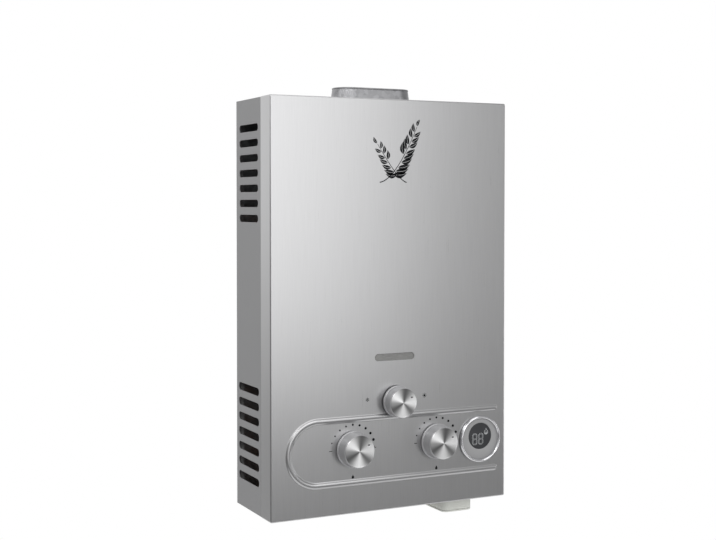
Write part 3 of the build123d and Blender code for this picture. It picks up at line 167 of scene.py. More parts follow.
class HeaterStage(PropertyGroup):
    """Camera and light."""
    camera_x: length("Camera X", "Camera's place to the side", -733.8 * MM)
    camera_y: length("Camera Y", "Camera's distance from the wall", -1511.4 * MM)
    camera_z: length("Camera Z", "Camera's height", 128.8 * MM)
    camera_turn: FloatProperty(name="Turn", description="Camera's turn about the vertical",
                               default=math.radians(-26.13), subtype="ANGLE")
    camera_tilt: FloatProperty(name="Tilt", description="How far the camera is tipped down",
                               default=math.radians(1.43), subtype="ANGLE")
    lens: FloatProperty(name="Lens", description="Focal length in millimetres on a 36 mm sensor",
                        default=62.66)
    shift: FloatProperty(name="Shift", description="Upward shift of the frame", default=-0.05)
    floor_drop: length("Floor drop", "How far the floor lies below the heater", 0.30)
    floor_reach: length("Floor reach", "How far the floor reaches from its middle", 0.55)


SETTINGS = {
    "heater_casing": HeaterCasing,
    "heater_controls": HeaterControls,
    "heater_marks": HeaterMarks,
    "heater_finish": HeaterFinish,
    "heater_stage": HeaterStage,
}


# ---------------------------------------------------------------- material helpers
PREFIX = "heater_"


def number(tree, operation, first, second=None):
    """A math node on sockets or numbers."""
    node = tree.nodes.new("ShaderNodeMath")
    node.operation = operation
    for socket, source in zip(node.inputs, (first, second)):
        if isinstance(source, bpy.types.NodeSocket):
            tree.links.new(source, socket)
        elif source is not None:
            socket.default_value = source
    return node.outputs[0]


def new_material(name, base, metallic=0.0, roughness=0.5):
    """A material with one Principled shader; returns the material, its tree and the shader."""
    material = bpy.data.materials.new(PREFIX + name)
    material.use_nodes = True
    tree = material.node_tree
    shader = tree.nodes["Principled BSDF"]
    shader.inputs["Base Color"].default_value = (*base, 1)
    shader.inputs["Metallic"].default_value = metallic
    shader.inputs["Roughness"].default_value = roughness
    return material, tree, shader


def object_vector(tree, scale=(1, 1, 1), centre=(0, 0, 0)):
    """Object coordinates, moved to a centre and scaled."""
    source = tree.nodes.new("ShaderNodeTexCoord")
    mapping = tree.nodes.new("ShaderNodeMapping")
    mapping.inputs["Location"].default_value = [-c * s for c, s in zip(centre, scale)]
    mapping.inputs["Scale"].default_value = scale
    tree.links.new(source.outputs["Object"], mapping.inputs["Vector"])
    return mapping.outputs["Vector"]


def noise(tree, scale, detail, roughness=0.5, vector=None):
    """A noise texture's grey value, on Object coordinates unless a vector is given."""
    node = tree.nodes.new("ShaderNodeTexNoise")
    node.inputs["Scale"].default_value = scale
    node.inputs["Detail"].default_value = detail
    node.inputs["Roughness"].default_value = roughness
    tree.links.new(object_vector(tree) if vector is None else vector, node.inputs["Vector"])
    return node.outputs["Fac"]


def spread(tree, value, low, high, start=0.0, end=1.0):
    """A grey value, mapped from start..end to low..high."""
    node = tree.nodes.new("ShaderNodeMapRange")
    node.inputs["From Min"].default_value = start
    node.inputs["From Max"].default_value = end
    node.inputs["To Min"].default_value = low
    node.inputs["To Max"].default_value = high
    tree.links.new(value, node.inputs["Value"])
    return node.outputs["Result"]


def blend_colours(tree, value, first, second):
    """A colour between two, or between two sockets, by a grey value."""
    node = tree.nodes.new("ShaderNodeMix")
    node.data_type = "RGBA"
    for socket, source in ((node.inputs[6], first), (node.inputs[7], second)):
        if isinstance(source, bpy.types.NodeSocket):
            tree.links.new(source, socket)
        else:
            socket.default_value = (*source, 1)
    tree.links.new(value, node.inputs[0])
    return node.outputs[2]


def shade(base, factor):
    """A colour, lighter or darker."""
    return tuple(min(1.0, c * factor) for c in base)


def tint(tree, shader, value, first, second):
    """Colours a shader from first to second as a grey value rises."""
    tree.links.new(blend_colours(tree, value, first, second), shader.inputs["Base Color"])


def gloss(tree, shader, value, low, high, start=0.0, end=1.0):
    """Sets a shader's roughness from low to high as a grey value rises from start to end."""
    tree.links.new(spread(tree, value, low, high, start, end), shader.inputs["Roughness"])


def relief(tree, shader, height, strength, distance):
    """Bump on a shader from a grey value."""
    node = tree.nodes.new("ShaderNodeBump")
    node.inputs["Strength"].default_value = strength
    node.inputs["Distance"].default_value = distance
    tree.links.new(height, node.inputs["Height"])
    tree.links.new(node.outputs["Normal"], shader.inputs["Normal"])


# ---------------------------------------------------------------- materials
def brushed_stainless(base):
    """Upright hairline brushing with faint cloudiness."""
    material, tree, shader = new_material("brushed_stainless", base, metallic=1.0, roughness=0.28)
    hairline = noise(tree, scale=2800, detail=2, vector=object_vector(tree, (1, 1, 0.008)))
    cloud = noise(tree, scale=9, detail=3)
    fine = blend_colours(tree, spread(tree, hairline, 0, 1, 0.3, 0.7), shade(base, 0.96), shade(base, 1.04))
    tint(tree, shader, spread(tree, cloud, 0, 0.25), fine, shade(base, 0.97))
    gloss(tree, shader, hairline, 0.26, 0.32)
    relief(tree, shader, hairline, strength=0.03, distance=0.02 * MM)
    return material


def grey_paint(base):
    """Stoved paint with orange peel and a little dust."""
    material, tree, shader = new_material("grey_paint", base, metallic=0.0, roughness=0.42)
    peel = noise(tree, scale=900, detail=2)
    cloud = noise(tree, scale=14, detail=4)
    tint(tree, shader, cloud, shade(base, 0.96), shade(base, 1.04))
    gloss(tree, shader, cloud, 0.38, 0.50)
    relief(tree, shader, peel, strength=0.12, distance=0.05 * MM)
    return material


def galvanised(name, base):
    """Zinc spangle."""
    material, tree, shader = new_material(name, base, metallic=1.0, roughness=0.42)
    cells = tree.nodes.new("ShaderNodeTexVoronoi")
    cells.inputs["Scale"].default_value = 160
    tree.links.new(object_vector(tree), cells.inputs["Vector"])
    split = tree.nodes.new("ShaderNodeSeparateColor")
    tree.links.new(cells.outputs["Color"], split.inputs["Color"])
    tint(tree, shader, split.outputs["Red"], shade(base, 0.86), shade(base, 1.16))
    gloss(tree, shader, split.outputs["Green"], 0.34, 0.50)
    return material


def satin_chrome(base):
    """Plated plastic with a silky surface."""
    material, tree, shader = new_material("satin_chrome", base, metallic=0.5, roughness=0.33)
    veil = noise(tree, scale=700, detail=3)
    gloss(tree, shader, veil, 0.31, 0.36)
    tint(tree, shader, veil, shade(base, 0.97), shade(base, 1.03))
    return material


# angle in degrees and grey of each sweep of painted highlight and painted shade on the knob faces
PAINTED_SHEEN_SWEEPS = ((-153, 0.14), (-102, 0.92), (-47, 0.13), (8, 1.0), (82, 0.14), (148, 1.0), (180, 0.36))


def painted_sheen_sweeps(tree, vector):
    """Painted highlight and shade: broad light and dark sweeps about the Y axis, laid into a disc's colour
    where spun metal's sheen would fall.
    """
    lay_flat = tree.nodes.new("ShaderNodeMapping")
    lay_flat.inputs["Rotation"].default_value = (-math.pi / 2, 0, 0)
    tree.links.new(vector, lay_flat.inputs["Vector"])
    turn = tree.nodes.new("ShaderNodeTexGradient")
    turn.gradient_type = "RADIAL"
    tree.links.new(lay_flat.outputs["Vector"], turn.inputs["Vector"])
    ramp = tree.nodes.new("ShaderNodeValToRGB")
    ramp.color_ramp.interpolation = "EASE"
    stops = ((-180, PAINTED_SHEEN_SWEEPS[-1][1]), *PAINTED_SHEEN_SWEEPS)
    for _ in stops[2:]:
        ramp.color_ramp.elements.new(0.5)
    for element, (angle, grey) in zip(ramp.color_ramp.elements, stops):
        element.position, element.color = angle / 360 + 0.5, (grey, grey, grey, 1)
    tree.links.new(turn.outputs["Fac"], ramp.inputs["Fac"])
    return ramp.outputs["Color"]


def spun_aluminium_painted_sheen(name, base, centre):
    """Fine turned rings round a centre, with the sheen drawn out across them, and broad sweeps of painted
    highlight and painted shade in the colour.
    """
    material, tree, shader = new_material(name, base, metallic=0.6, roughness=0.28)
    vector = object_vector(tree, (1, 1, 1), centre)
    rings = tree.nodes.new("ShaderNodeTexWave")
    rings.wave_type = "RINGS"
    rings.rings_direction = "Y"
    rings.inputs["Scale"].default_value = 900
    rings.inputs["Distortion"].default_value = 1.2
    rings.inputs["Detail"].default_value = 3
    tree.links.new(vector, rings.inputs["Vector"])
    grain = noise(tree, scale=700, detail=3, vector=vector)
    bright = blend_colours(tree, rings.outputs["Fac"], shade(base, 0.93), shade(base, 1.04))
    # the colour runs from black to the rings' colour by the sweeps of painted highlight and painted shade
    tint(tree, shader, painted_sheen_sweeps(tree, vector), (0, 0, 0), bright)
    gloss(tree, shader, grain, 0.27, 0.33)
    shader.inputs["Anisotropic"].default_value = 0.8
    tree.links.new(vector, shader.inputs["Tangent"])
    relief(tree, shader, rings.outputs["Fac"], strength=0.05, distance=0.02 * MM)
    return material


def polished_chrome():
    """Mirror plating with faint wipe marks."""
    base = (0.80, 0.80, 0.82)
    material, tree, shader = new_material("polished_chrome", base, metallic=1.0, roughness=0.07)
    wipe = noise(tree, scale=120, detail=4)
    gloss(tree, shader, wipe, 0.05, 0.14, 0.3, 0.8)
    return material


def plastic(name, base, roughness, grain_scale=1500, grain=0.10):
    """Moulded plastic with a fine spark-eroded grain."""
    material, tree, shader = new_material(name, base, metallic=0.0, roughness=roughness)
    erosion = noise(tree, scale=grain_scale, detail=2)
    cloud = noise(tree, scale=30, detail=2)
    tint(tree, shader, cloud, shade(base, 0.96), shade(base, 1.03))
    relief(tree, shader, erosion, strength=grain, distance=0.05 * MM)
    return material


def ink(base):
    """Screen-printed ink, a little uneven."""
    material, tree, shader = new_material("ink", base, metallic=0.0, roughness=0.7)
    shader.inputs["Specular IOR Level"].default_value = 0.12
    cover = noise(tree, scale=800, detail=2)
    tint(tree, shader, cover, base, shade(base, 2.2))
    return material


def dark_lens():
    """Smoked acrylic over a dark display."""
    base = (0.038, 0.039, 0.042)
    material, tree, shader = new_material("dark_lens", base, metallic=0.0, roughness=0.16)
    haze = noise(tree, scale=60, detail=2)
    tint(tree, shader, haze, shade(base, 0.8), shade(base, 1.3))
    gloss(tree, shader, haze, 0.12, 0.22)
    return material


def machined(name, base, roughness):
    """Turned metal with fine tool marks and a faint tarnish."""
    material, tree, shader = new_material(name, base, metallic=1.0, roughness=roughness)
    marks = noise(tree, scale=60, detail=3, vector=object_vector(tree, (1, 1, 60)))
    tarnish = noise(tree, scale=45, detail=4)
    tint(tree, shader, spread(tree, tarnish, 0, 1, 0.35, 0.75), base, shade(base, 0.72))
    gloss(tree, shader, marks, roughness * 0.75, roughness * 1.35)
    relief(tree, shader, marks, strength=0.06, distance=0.03 * MM)
    return material


def cast_metal():
    """Pressure-cast aluminium."""
    base = (0.48, 0.48, 0.49)
    material, tree, shader = new_material("cast_metal", base, metallic=1.0, roughness=0.5)
    sand = noise(tree, scale=420, detail=4, roughness=0.6)
    tint(tree, shader, sand, shade(base, 0.85), shade(base, 1.1))
    relief(tree, shader, sand, strength=0.25, distance=0.1 * MM)
    return material


def heated_copper(base):
    """Drawn copper with the bloom that heat leaves."""
    material, tree, shader = new_material("heated_copper", base, metallic=1.0, roughness=0.33)
    bloom = noise(tree, scale=26, detail=4, roughness=0.6)
    tint(tree, shader, spread(tree, bloom, 0, 1, 0.4, 0.7), base, (0.36, 0.16, 0.12))
    gloss(tree, shader, bloom, 0.26, 0.5)
    return material


def heated_steel():
    """Burner steel, straw to blue where it has been hot."""
    base = (0.42, 0.41, 0.40)
    material, tree, shader = new_material("heated_steel", base, metallic=1.0, roughness=0.38)
    bloom = noise(tree, scale=22, detail=4, roughness=0.6)
    tint(tree, shader, spread(tree, bloom, 0, 1, 0.45, 0.75), base, (0.30, 0.24, 0.17))
    return material


def glazed_ceramic():
    """White electrode insulator."""
    base = (0.80, 0.79, 0.74)
    material, tree, shader = new_material("glazed_ceramic", base, metallic=0.0, roughness=0.18)
    speck = noise(tree, scale=500, detail=3)
    tint(tree, shader, spread(tree, speck, 0, 1, 0.6, 0.8), base, shade(base, 0.8))
    return material


def mica():
    """Smoky mica of the sight window."""
    base = (0.19, 0.19, 0.185)
    material, tree, shader = new_material("mica", base, metallic=0.0, roughness=0.22)
    flakes = noise(tree, scale=160, detail=4, roughness=0.6, vector=object_vector(tree, (1, 1, 4)))
    tint(tree, shader, flakes, shade(base, 0.7), shade(base, 1.5))
    return material


def circuit_board():
    """Green lacquered board with paler tracks."""
    base = (0.02, 0.10, 0.04)
    material, tree, shader = new_material("circuit_board", base, metallic=0.0, roughness=0.35)
    tracks = tree.nodes.new("ShaderNodeTexBrick")
    tracks.inputs["Scale"].default_value = 300
    tracks.inputs["Color1"].default_value = (*base, 1)
    tracks.inputs["Color2"].default_value = (*shade(base, 1.3), 1)
    tracks.inputs["Mortar"].default_value = (*shade(base, 2.4), 1)
    tree.links.new(object_vector(tree), tracks.inputs["Vector"])
    tree.links.new(tracks.outputs["Color"], shader.inputs["Base Color"])
    return material


def wire_insulation():
    """Silicone rubber over the leads."""
    base = (0.09, 0.018, 0.016)
    material, tree, shader = new_material("wire_insulation", base, metallic=0.0, roughness=0.5)
    grime = noise(tree, scale=90, detail=3)
    tint(tree, shader, grime, shade(base, 0.7), shade(base, 1.2))
    return material


def cell_wrap():
    """Shrink wrap of a dry cell, dark with a paler band at the plus end."""
    base, band_start = (0.03, 0.03, 0.035), 0.72
    material, tree, shader = new_material("cell_wrap", base, metallic=0.0, roughness=0.28)
    split = tree.nodes.new("ShaderNodeSeparateXYZ")
    tree.links.new(object_vector(tree), split.inputs["Vector"])
    low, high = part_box("battery_cells")
    band = number(tree, "GREATER_THAN", split.outputs["Z"], low.z + band_start * (high.z - low.z))
    scuff = noise(tree, scale=150, detail=4)
    dark = blend_colours(tree, spread(tree, scuff, 0, 1, 0.55, 0.8), base, shade(base, 2))
    tint(tree, shader, band, dark, (0.55, 0.33, 0.12))
    return material


MATERIALS = {}


def make_materials(finish):
    """Every finish, once."""
    if MATERIALS:
        return
    for material in (
        brushed_stainless(finish.stainless),
        grey_paint(finish.paint),
        galvanised("galvanised", (0.42, 0.43, 0.44)),
        galvanised("collar_zinc", (0.34, 0.34, 0.35)),
        satin_chrome(finish.satin),
        polished_chrome(),
        ink(finish.ink),
        dark_lens(),
        plastic("white_plastic", finish.white, roughness=0.42),
        plastic("display_plate", (0.30, 0.30, 0.305), roughness=0.45, grain_scale=900, grain=0.15),
        plastic("display_segments", (0.45, 0.46, 0.47), roughness=0.5),
        plastic("pointer_paint", (0.10, 0.10, 0.105), roughness=0.5),
        plastic("black_plastic", (0.025, 0.025, 0.027), roughness=0.45),
        plastic("black_rubber", (0.02, 0.02, 0.02), roughness=0.75, grain_scale=500, grain=0.3),
        machined("turned_brass", finish.brass, roughness=0.28),
        machined("zinc_steel", (0.56, 0.57, 0.58), roughness=0.32),
        machined("spring_steel", (0.35, 0.35, 0.36), roughness=0.3),
        machined("filter_mesh", (0.5, 0.5, 0.5), roughness=0.45),
        cast_metal(),
        heated_copper(finish.copper),
        heated_steel(),
        glazed_ceramic(),
        mica(),
        circuit_board(),
        wire_insulation(),
        cell_wrap(),
    ):
        MATERIALS[material.name.removeprefix(PREFIX)] = material
    for key, (_, face, _) in KNOBS.items():
        name = f"spun_aluminium_{key}"
        MATERIALS[name] = spun_aluminium_painted_sheen(name, finish.spun, node_middle(face))


# ---------------------------------------------------------------- mesh helpers
def ring_of(x, z, radius, count, start=0.0):
    """A circle in the plane of the front."""
    turn = 2 * math.pi / count
    return [(x + radius * math.cos(start + i * turn), z + radius * math.sin(start + i * turn))
            for i in range(count)]


def arc(x, z, radius, start, sweep, steps):
    """Points on an arc in the plane of the front, with both its ends."""
    angles = [start + sweep * i / steps for i in range(steps + 1)]
    return [(x + radius * math.cos(angle), z + radius * math.sin(angle)) for angle in angles]


def slot_loop(x, z, half_length, radius, steps):
    """A round-ended slot that lies along X."""
    loop = []
    for side in (1, -1):
        for i in range(steps + 1):
            angle = math.pi * i / steps - side * math.pi / 2
            loop.append((x + side * half_length + radius * math.cos(angle), z + radius * math.sin(angle)))
    return loop


def rounded_loop(half_x, half_z, radius, steps, middle=(0.0, 0.0)):
    """A rectangle with round corners."""
    loop = []
    for quarter, (sx, sz) in enumerate(((1, 1), (-1, 1), (-1, -1), (1, -1))):
        for i in range(steps + 1):
            angle = math.pi / 2 * (quarter + i / steps)
            loop.append((middle[0] + sx * (half_x - radius) + radius * math.cos(angle),
                         middle[1] + sz * (half_z - radius) + radius * math.sin(angle)))
    return loop


def inside(point, loop):
    """Whether a point lies in a closed loop."""
    x, z = point
    hit = False
    for (x0, z0), (x1, z1) in zip(loop, loop[1:] + loop[:1]):
        if (z0 > z) != (z1 > z) and x < (x1 - x0) * (z - z0) / (z1 - z0) + x0:
            hit = not hit
    return hit


def relief_sheet(loops, holes, place):
    """A sheet through nested loops, left open in the holes; place puts (x, z) into space."""
    points, edges = [], []
    for loop in [*loops, *holes]:
        start = len(points)
        points += loop
        edges += [(start + i, start + (i + 1) % len(loop)) for i in range(len(loop))]
    flat, _, faces, *_ = delaunay_2d_cdt([Vector(p) for p in points], edges, [], 0, MERGE)
    shell = bmesh.new()
    verts = [shell.verts.new(place(p.x, p.y)) for p in flat]
    outer = loops[0]
    for face in faces:
        middle = sum((flat[i] for i in face), Vector((0, 0))) / len(face)
        if inside(middle, outer) and not any(inside(middle, hole) for hole in holes):
            shell.faces.new([verts[i] for i in face])
    loose = [v for v in shell.verts if not v.link_faces]
    bmesh.ops.delete(shell, geom=loose, context="VERTS")
    return shell


def skin(shell, rings, closed=False):
    """Quads between rings of equal count; a ring of one point is a pole."""
    made = [[shell.verts.new(p) for p in ring] for ring in rings]
    pairs = list(zip(made, made[1:]))
    if closed:
        pairs.append((made[-1], made[0]))
    for a, b in pairs:
        count = max(len(a), len(b))
        for i in range(count):
            j = (i + 1) % count
            corners = [a[i % len(a)], a[j % len(a)], b[j % len(b)], b[i % len(b)]]
            shell.faces.new(list(dict.fromkeys(corners)))
    return shell


def soften(profile, radius, steps=4):
    """A polyline with each inner corner rounded."""
    rounded = [profile[0]]
    for before, corner, after in zip(profile, profile[1:], profile[2:]):
        corner_v = Vector(corner)
        back, ahead = Vector(before) - corner_v, Vector(after) - corner_v
        reach = min(radius, back.length * 0.45, ahead.length * 0.45)
        first, last = corner_v + back.normalized() * reach, corner_v + ahead.normalized() * reach
        for i in range(steps + 1):
            t = i / steps
            rounded.append(tuple((1 - t) ** 2 * first + 2 * t * (1 - t) * corner_v + t * t * last))
    rounded.append(profile[-1])
    return rounded


def turned_rings(profile, x, z, count):
    """Rings of a profile of (radius, distance from the wall), turned about a line along Y."""
    rings = []
    for radius, depth in profile:
        if radius <= 0:
            rings.append([(x, -depth, z)])
        else:
            rings.append([(px, -depth, pz) for px, pz in ring_of(x, z, radius, count)])
    return rings


def upright_rings(profile, x, y, count, radius_at=None):
    """Rings of a profile of (radius, height), turned about an upright line."""
    rings = []
    for radius, height in profile:
        if radius <= 0:
            rings.append([(x, y, height)])
            continue
        ring = []
        for i in range(count):
            angle = 2 * math.pi * i / count
            r = radius_at(radius, height, angle) if radius_at else radius
            ring.append((x + r * math.cos(angle), y + r * math.sin(angle), height))
        rings.append(ring)
    return rings


def outward(shell):
    """Closed shells with their faces outwards."""
    bmesh.ops.remove_doubles(shell, verts=shell.verts, dist=MERGE)
    bmesh.ops.recalc_face_normals(shell, faces=shell.faces)


def mesh_from(shell, name):
    """The mesh of a shell in work, which is set free."""
    mesh = bpy.data.meshes.new(name)
    shell.to_mesh(mesh)
    shell.free()
    return mesh


def piece_from(shell, name, material, replaces=(), body=BODY, angle=30):
    """Makes a piece of closed shells in work."""
    outward(shell)
    return piece_of(mesh_from(shell, name), name, material, replaces, body, angle)


def walled(mesh, wall):
    """The mesh of a sheet with its thickness on the inside."""
    sheet = bpy.data.objects.new("sheet", mesh)
    bpy.context.scene.collection.objects.link(sheet)
    solid = sheet.modifiers.new("wall", "SOLIDIFY")
    solid.thickness = wall
    solid.offset = -1
    bpy.context.view_layer.update()
    graph = bpy.context.evaluated_depsgraph_get()
    made = bpy.data.meshes.new_from_object(sheet.evaluated_get(graph), depsgraph=graph)
    bpy.data.objects.remove(sheet)
    return made


def piece_of(mesh, name, material, replaces=(), body=BODY, angle=30):
    """Makes an object of a mesh, gives it its finish and sets it riding on its body."""
    mesh.name = name
    mesh.materials.clear()
    mesh.materials.append(MATERIALS[material])
    piece = bpy.data.objects.new(name, mesh)
    bpy.context.scene.collection.objects.link(piece)
    mesh.shade_smooth()
    mesh.set_sharp_from_angle(angle=math.radians(angle))
    if replaces:
        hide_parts(*replaces)
    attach(piece, body)
    return piece


# ---------------------------------------------------------------- node tree helpers
def new_tree(name, inputs):
    """A Geometry Nodes tree with named inputs; inputs are (name, socket type, default)."""
    tree = bpy.data.node_groups.new(name, "GeometryNodeTree")
    tree.interface.new_socket("Geometry", in_out="INPUT", socket_type="NodeSocketGeometry")
    for label, kind, default in inputs:
        socket = tree.interface.new_socket(label, in_out="INPUT", socket_type=kind)
        if default is not None:
            socket.default_value = default
    tree.interface.new_socket("Geometry", in_out="OUTPUT", socket_type="NodeSocketGeometry")
    return tree, tree.nodes.new("NodeGroupInput"), tree.nodes.new("NodeGroupOutput")


def settle(tree, geometry, material_socket, output):
    """Ends a tree in Realize Instances and Set Material."""
    realize = tree.nodes.new("GeometryNodeRealizeInstances")
    finish = tree.nodes.new("GeometryNodeSetMaterial")
    tree.links.new(geometry, realize.inputs["Geometry"])
    tree.links.new(realize.outputs["Geometry"], finish.inputs["Geometry"])
    tree.links.new(material_socket, finish.inputs["Material"])
    tree.links.new(finish.outputs["Geometry"], output.inputs["Geometry"])


def grown_mesh(tree, points, values):
    """The plain mesh that a tree makes from some points with these input values."""
    seed = bpy.data.meshes.new("seed")
    seed.from_pydata(points, [], [])
    carrier = bpy.data.objects.new("carrier", seed)
    bpy.context.scene.collection.objects.link(carrier)
    grower = carrier.modifiers.new("grower", "NODES")
    grower.node_group = tree
    for item in tree.interface.items_tree:
        if item.in_out == "INPUT" and item.name in values:
            grower[item.identifier] = values[item.name]
    bpy.context.view_layer.update()
    graph = bpy.context.evaluated_depsgraph_get()
    mesh = bpy.data.meshes.new_from_object(carrier.evaluated_get(graph), depsgraph=graph)
    bpy.data.objects.remove(carrier)
    return mesh


def dot_scale_tree():
    """Discs on an arc about each point, growing clockwise."""
    tree, source, output = new_tree("dot_scale", (
        ("Count", "NodeSocketInt", 9), ("Circle", "NodeSocketFloat", 0.03),
        ("Smallest", "NodeSocketFloat", 0.0006), ("Largest", "NodeSocketFloat", 0.0016),
        ("Start", "NodeSocketFloat", math.radians(162)), ("Sweep", "NodeSocketFloat", math.radians(-144)),
        ("Thickness", "NodeSocketFloat", 0.00004), ("Material", "NodeSocketMaterial", None),
    ))
    node, link = tree.nodes.new, tree.links.new
    line = node("GeometryNodeMeshLine")
    link(source.outputs["Count"], line.inputs["Count"])
    index = node("GeometryNodeInputIndex").outputs[0]
    share = number(tree, "DIVIDE", index, number(tree, "SUBTRACT", source.outputs["Count"], 1.0))
    turned = number(tree, "MULTIPLY", share, source.outputs["Sweep"])
    angle = number(tree, "ADD", source.outputs["Start"], turned)
    spot = node("ShaderNodeCombineXYZ")
    link(number(tree, "MULTIPLY", number(tree, "COSINE", angle), source.outputs["Circle"]), spot.inputs["X"])
    link(number(tree, "MULTIPLY", number(tree, "SINE", angle), source.outputs["Circle"]), spot.inputs["Z"])
    bent = node("GeometryNodeSetPosition")
    link(line.outputs["Mesh"], bent.inputs["Geometry"])
    link(spot.outputs["Vector"], bent.inputs["Position"])
    growth = number(tree, "SUBTRACT", source.outputs["Largest"], source.outputs["Smallest"])
    radius = number(tree, "ADD", source.outputs["Smallest"], number(tree, "MULTIPLY", share, growth))
    disc = node("GeometryNodeMeshCylinder")
    disc.inputs["Vertices"].default_value = 28
    disc.inputs["Radius"].default_value = 1
    link(source.outputs["Thickness"], disc.inputs["Depth"])
    size = node("ShaderNodeCombineXYZ")
    link(radius, size.inputs["X"])
    link(radius, size.inputs["Y"])
    size.inputs["Z"].default_value = 1
    dots = node("GeometryNodeInstanceOnPoints")
    link(bent.outputs["Geometry"], dots.inputs["Points"])
    link(disc.outputs["Mesh"], dots.inputs["Instance"])
    link(size.outputs["Vector"], dots.inputs["Scale"])
    dots.inputs["Rotation"].default_value = (math.pi / 2, 0, 0)
    scales = node("GeometryNodeInstanceOnPoints")
    link(source.outputs["Geometry"], scales.inputs["Points"])
    link(dots.outputs["Instances"], scales.inputs["Instance"])
    settle(tree, scales.outputs["Instances"], source.outputs["Material"], output)
    return tree


def set_out_tree():
    """A copy of one object on each point, turned by an angle that drifts from copy to copy."""
    tree, source, output = new_tree("set_out", (
        ("Object", "NodeSocketObject", None), ("Rotation", "NodeSocketVector", (0, 0, 0)),
        ("Drift", "NodeSocketFloat", 0.7), ("Seed", "NodeSocketInt", 4),
        ("Material", "NodeSocketMaterial", None),
    ))
    node, link = tree.nodes.new, tree.links.new
    info = node("GeometryNodeObjectInfo")
    link(source.outputs["Object"], info.inputs["Object"])
    chance = node("FunctionNodeRandomValue")
    chance.data_type = "FLOAT"
    link(source.outputs["Drift"], chance.inputs[3])
    link(source.outputs["Seed"], chance.inputs["Seed"])
    spin = node("ShaderNodeCombineXYZ")
    link(chance.outputs[1], spin.inputs["Z"])
    copies = node("GeometryNodeInstanceOnPoints")
    link(source.outputs["Geometry"], copies.inputs["Points"])
    link(info.outputs["Geometry"], copies.inputs["Instance"])
    link(source.outputs["Rotation"], copies.inputs["Rotation"])
    turn = node("GeometryNodeRotateInstances")
    link(copies.outputs["Instances"], turn.inputs["Instances"])
    link(spin.outputs["Vector"], turn.inputs["Rotation"])
    settle(tree, turn.outputs["Instances"], source.outputs["Material"], output)
    return tree


# ---------------------------------------------------------------- front sheet
def bead_middle(casing):
    """The height of the bead's middle, below the knobs."""
    return node_middle("gas_knob").z - casing.bead_drop


def bead_distance(casing, x, z):
    """How far a point of the front lies from the bead's middle line."""
    across = abs(z - bead_middle(casing))
    if x < casing.bead_arc_x:
        return abs(math.hypot(x - casing.bead_arc_x, across) - casing.bead_radius)
    if x > casing.bead_end_x:
        return math.hypot(x - casing.bead_end_x, across - casing.bead_radius)
    return abs(across - casing.bead_radius)


def bead_loop(casing, reach):
    """A closed line that keeps one distance from the bead's middle line."""
    middle, radius = bead_middle(casing), casing.bead_radius
    outer, inner = (arc(casing.bead_arc_x, middle, radius + side * reach, math.pi / 2, math.pi, 96)
                    for side in (1, -1))
    lower_end, upper_end = (arc(casing.bead_end_x, middle + side * radius, reach, -math.pi / 2, math.pi, 16)
                            for side in (-1, 1))
    return outer + lower_end[1:-1] + inner[::-1] + upper_end[1:-1]


def step_up(share):
    """A smooth rise from 0 to 1."""
    share = min(1.0, max(0.0, share))
    return share * share * (3 - 2 * share)


class HEATER_OT_front_sheet(Operator):
    """Press the front sheet with its bead, window, holes and flanges"""
    bl_idname = "heater.front_sheet"
    bl_label = "Front sheet"

    def execute(self, context):
        casing = context.scene.heater_casing
        make_materials(context.scene.heater_finish)
        shell = self.front(casing)
        self.flanges(casing, shell)
        outward(shell)
        # an open sheet has no inside, so its largest front face settles which way it looks
        front = max(shell.faces, key=lambda face: face.calc_area() if abs(face.normal.y) > 0.9 else 0)
        if front.normal.y > 0:
            bmesh.ops.reverse_faces(shell, faces=shell.faces)
        mesh = walled(mesh_from(shell, "front_sheet"), casing.sheet)
        piece_of(mesh, "front_sheet", "brushed_stainless", ("front_cover",), angle=40)
        return {"FINISHED"}

    def outline(self, casing, out):
        """The outline where the bends start, moved outward."""
        return rounded_loop(COVER_HIGH.x - casing.bend + out, COVER_HIGH.z - casing.bend + out,
                            casing.corner + max(0.0, out), 5)

    def front(self, casing):
        """The front with its bead, left open for the window, the spindles and the display."""
        plane = front_plane()
        half_bead, crown = casing.bead_width / 2, casing.bead_crown * casing.bead_width

        def place(x, z):
            share = min(1.0, max(0.0, (half_bead - bead_distance(casing, x, z)) / (half_bead - crown)))
            rise = (share + step_up(share)) / 2
            return x, -(plane + casing.bead_height * rise), z

        edges = [self.outline(casing, -inset) for inset in (0, 0.5 * MM)]
        beads = [bead_loop(casing, crown + (half_bead - crown) * share)
                 for share in (0.001, 0.15, 0.3, 0.45, 0.6, 0.75, 0.9, 1.0, 1.2)]
        glass, display = node_middle("sight_glass"), node_middle("display_bezel")
        holes = [slot_loop(glass.x, glass.z, (casing.window_length - casing.window_height) / 2,
                           casing.window_height / 2, 16)]
        for knob, _, _ in KNOBS.values():
            spot = node_middle(knob)
            holes.append(ring_of(spot.x, spot.z, casing.shaft_hole, 32))
        holes.append(ring_of(display.x, display.z, casing.display_hole, 64))
        return relief_sheet([*edges, *beads], holes, place)

    def flanges(self, casing, shell):
        """The bends round the front, and the flanges behind them."""
        plane, back, steps = front_plane(), -COVER_HIGH.y, 8
        rings = []
        for i in range(steps + 1):
            angle = math.pi / 2 * i / steps
            depth = plane - casing.bend * (1 - math.cos(angle))
            rings.append([(x, -depth, z) for x, z in self.outline(casing, casing.bend * math.sin(angle))])
        for depth in (back + 0.4 * MM, back):
            rings.append([(x, -depth, z) for x, z in self.outline(casing, casing.bend)])
        skin(shell, rings)


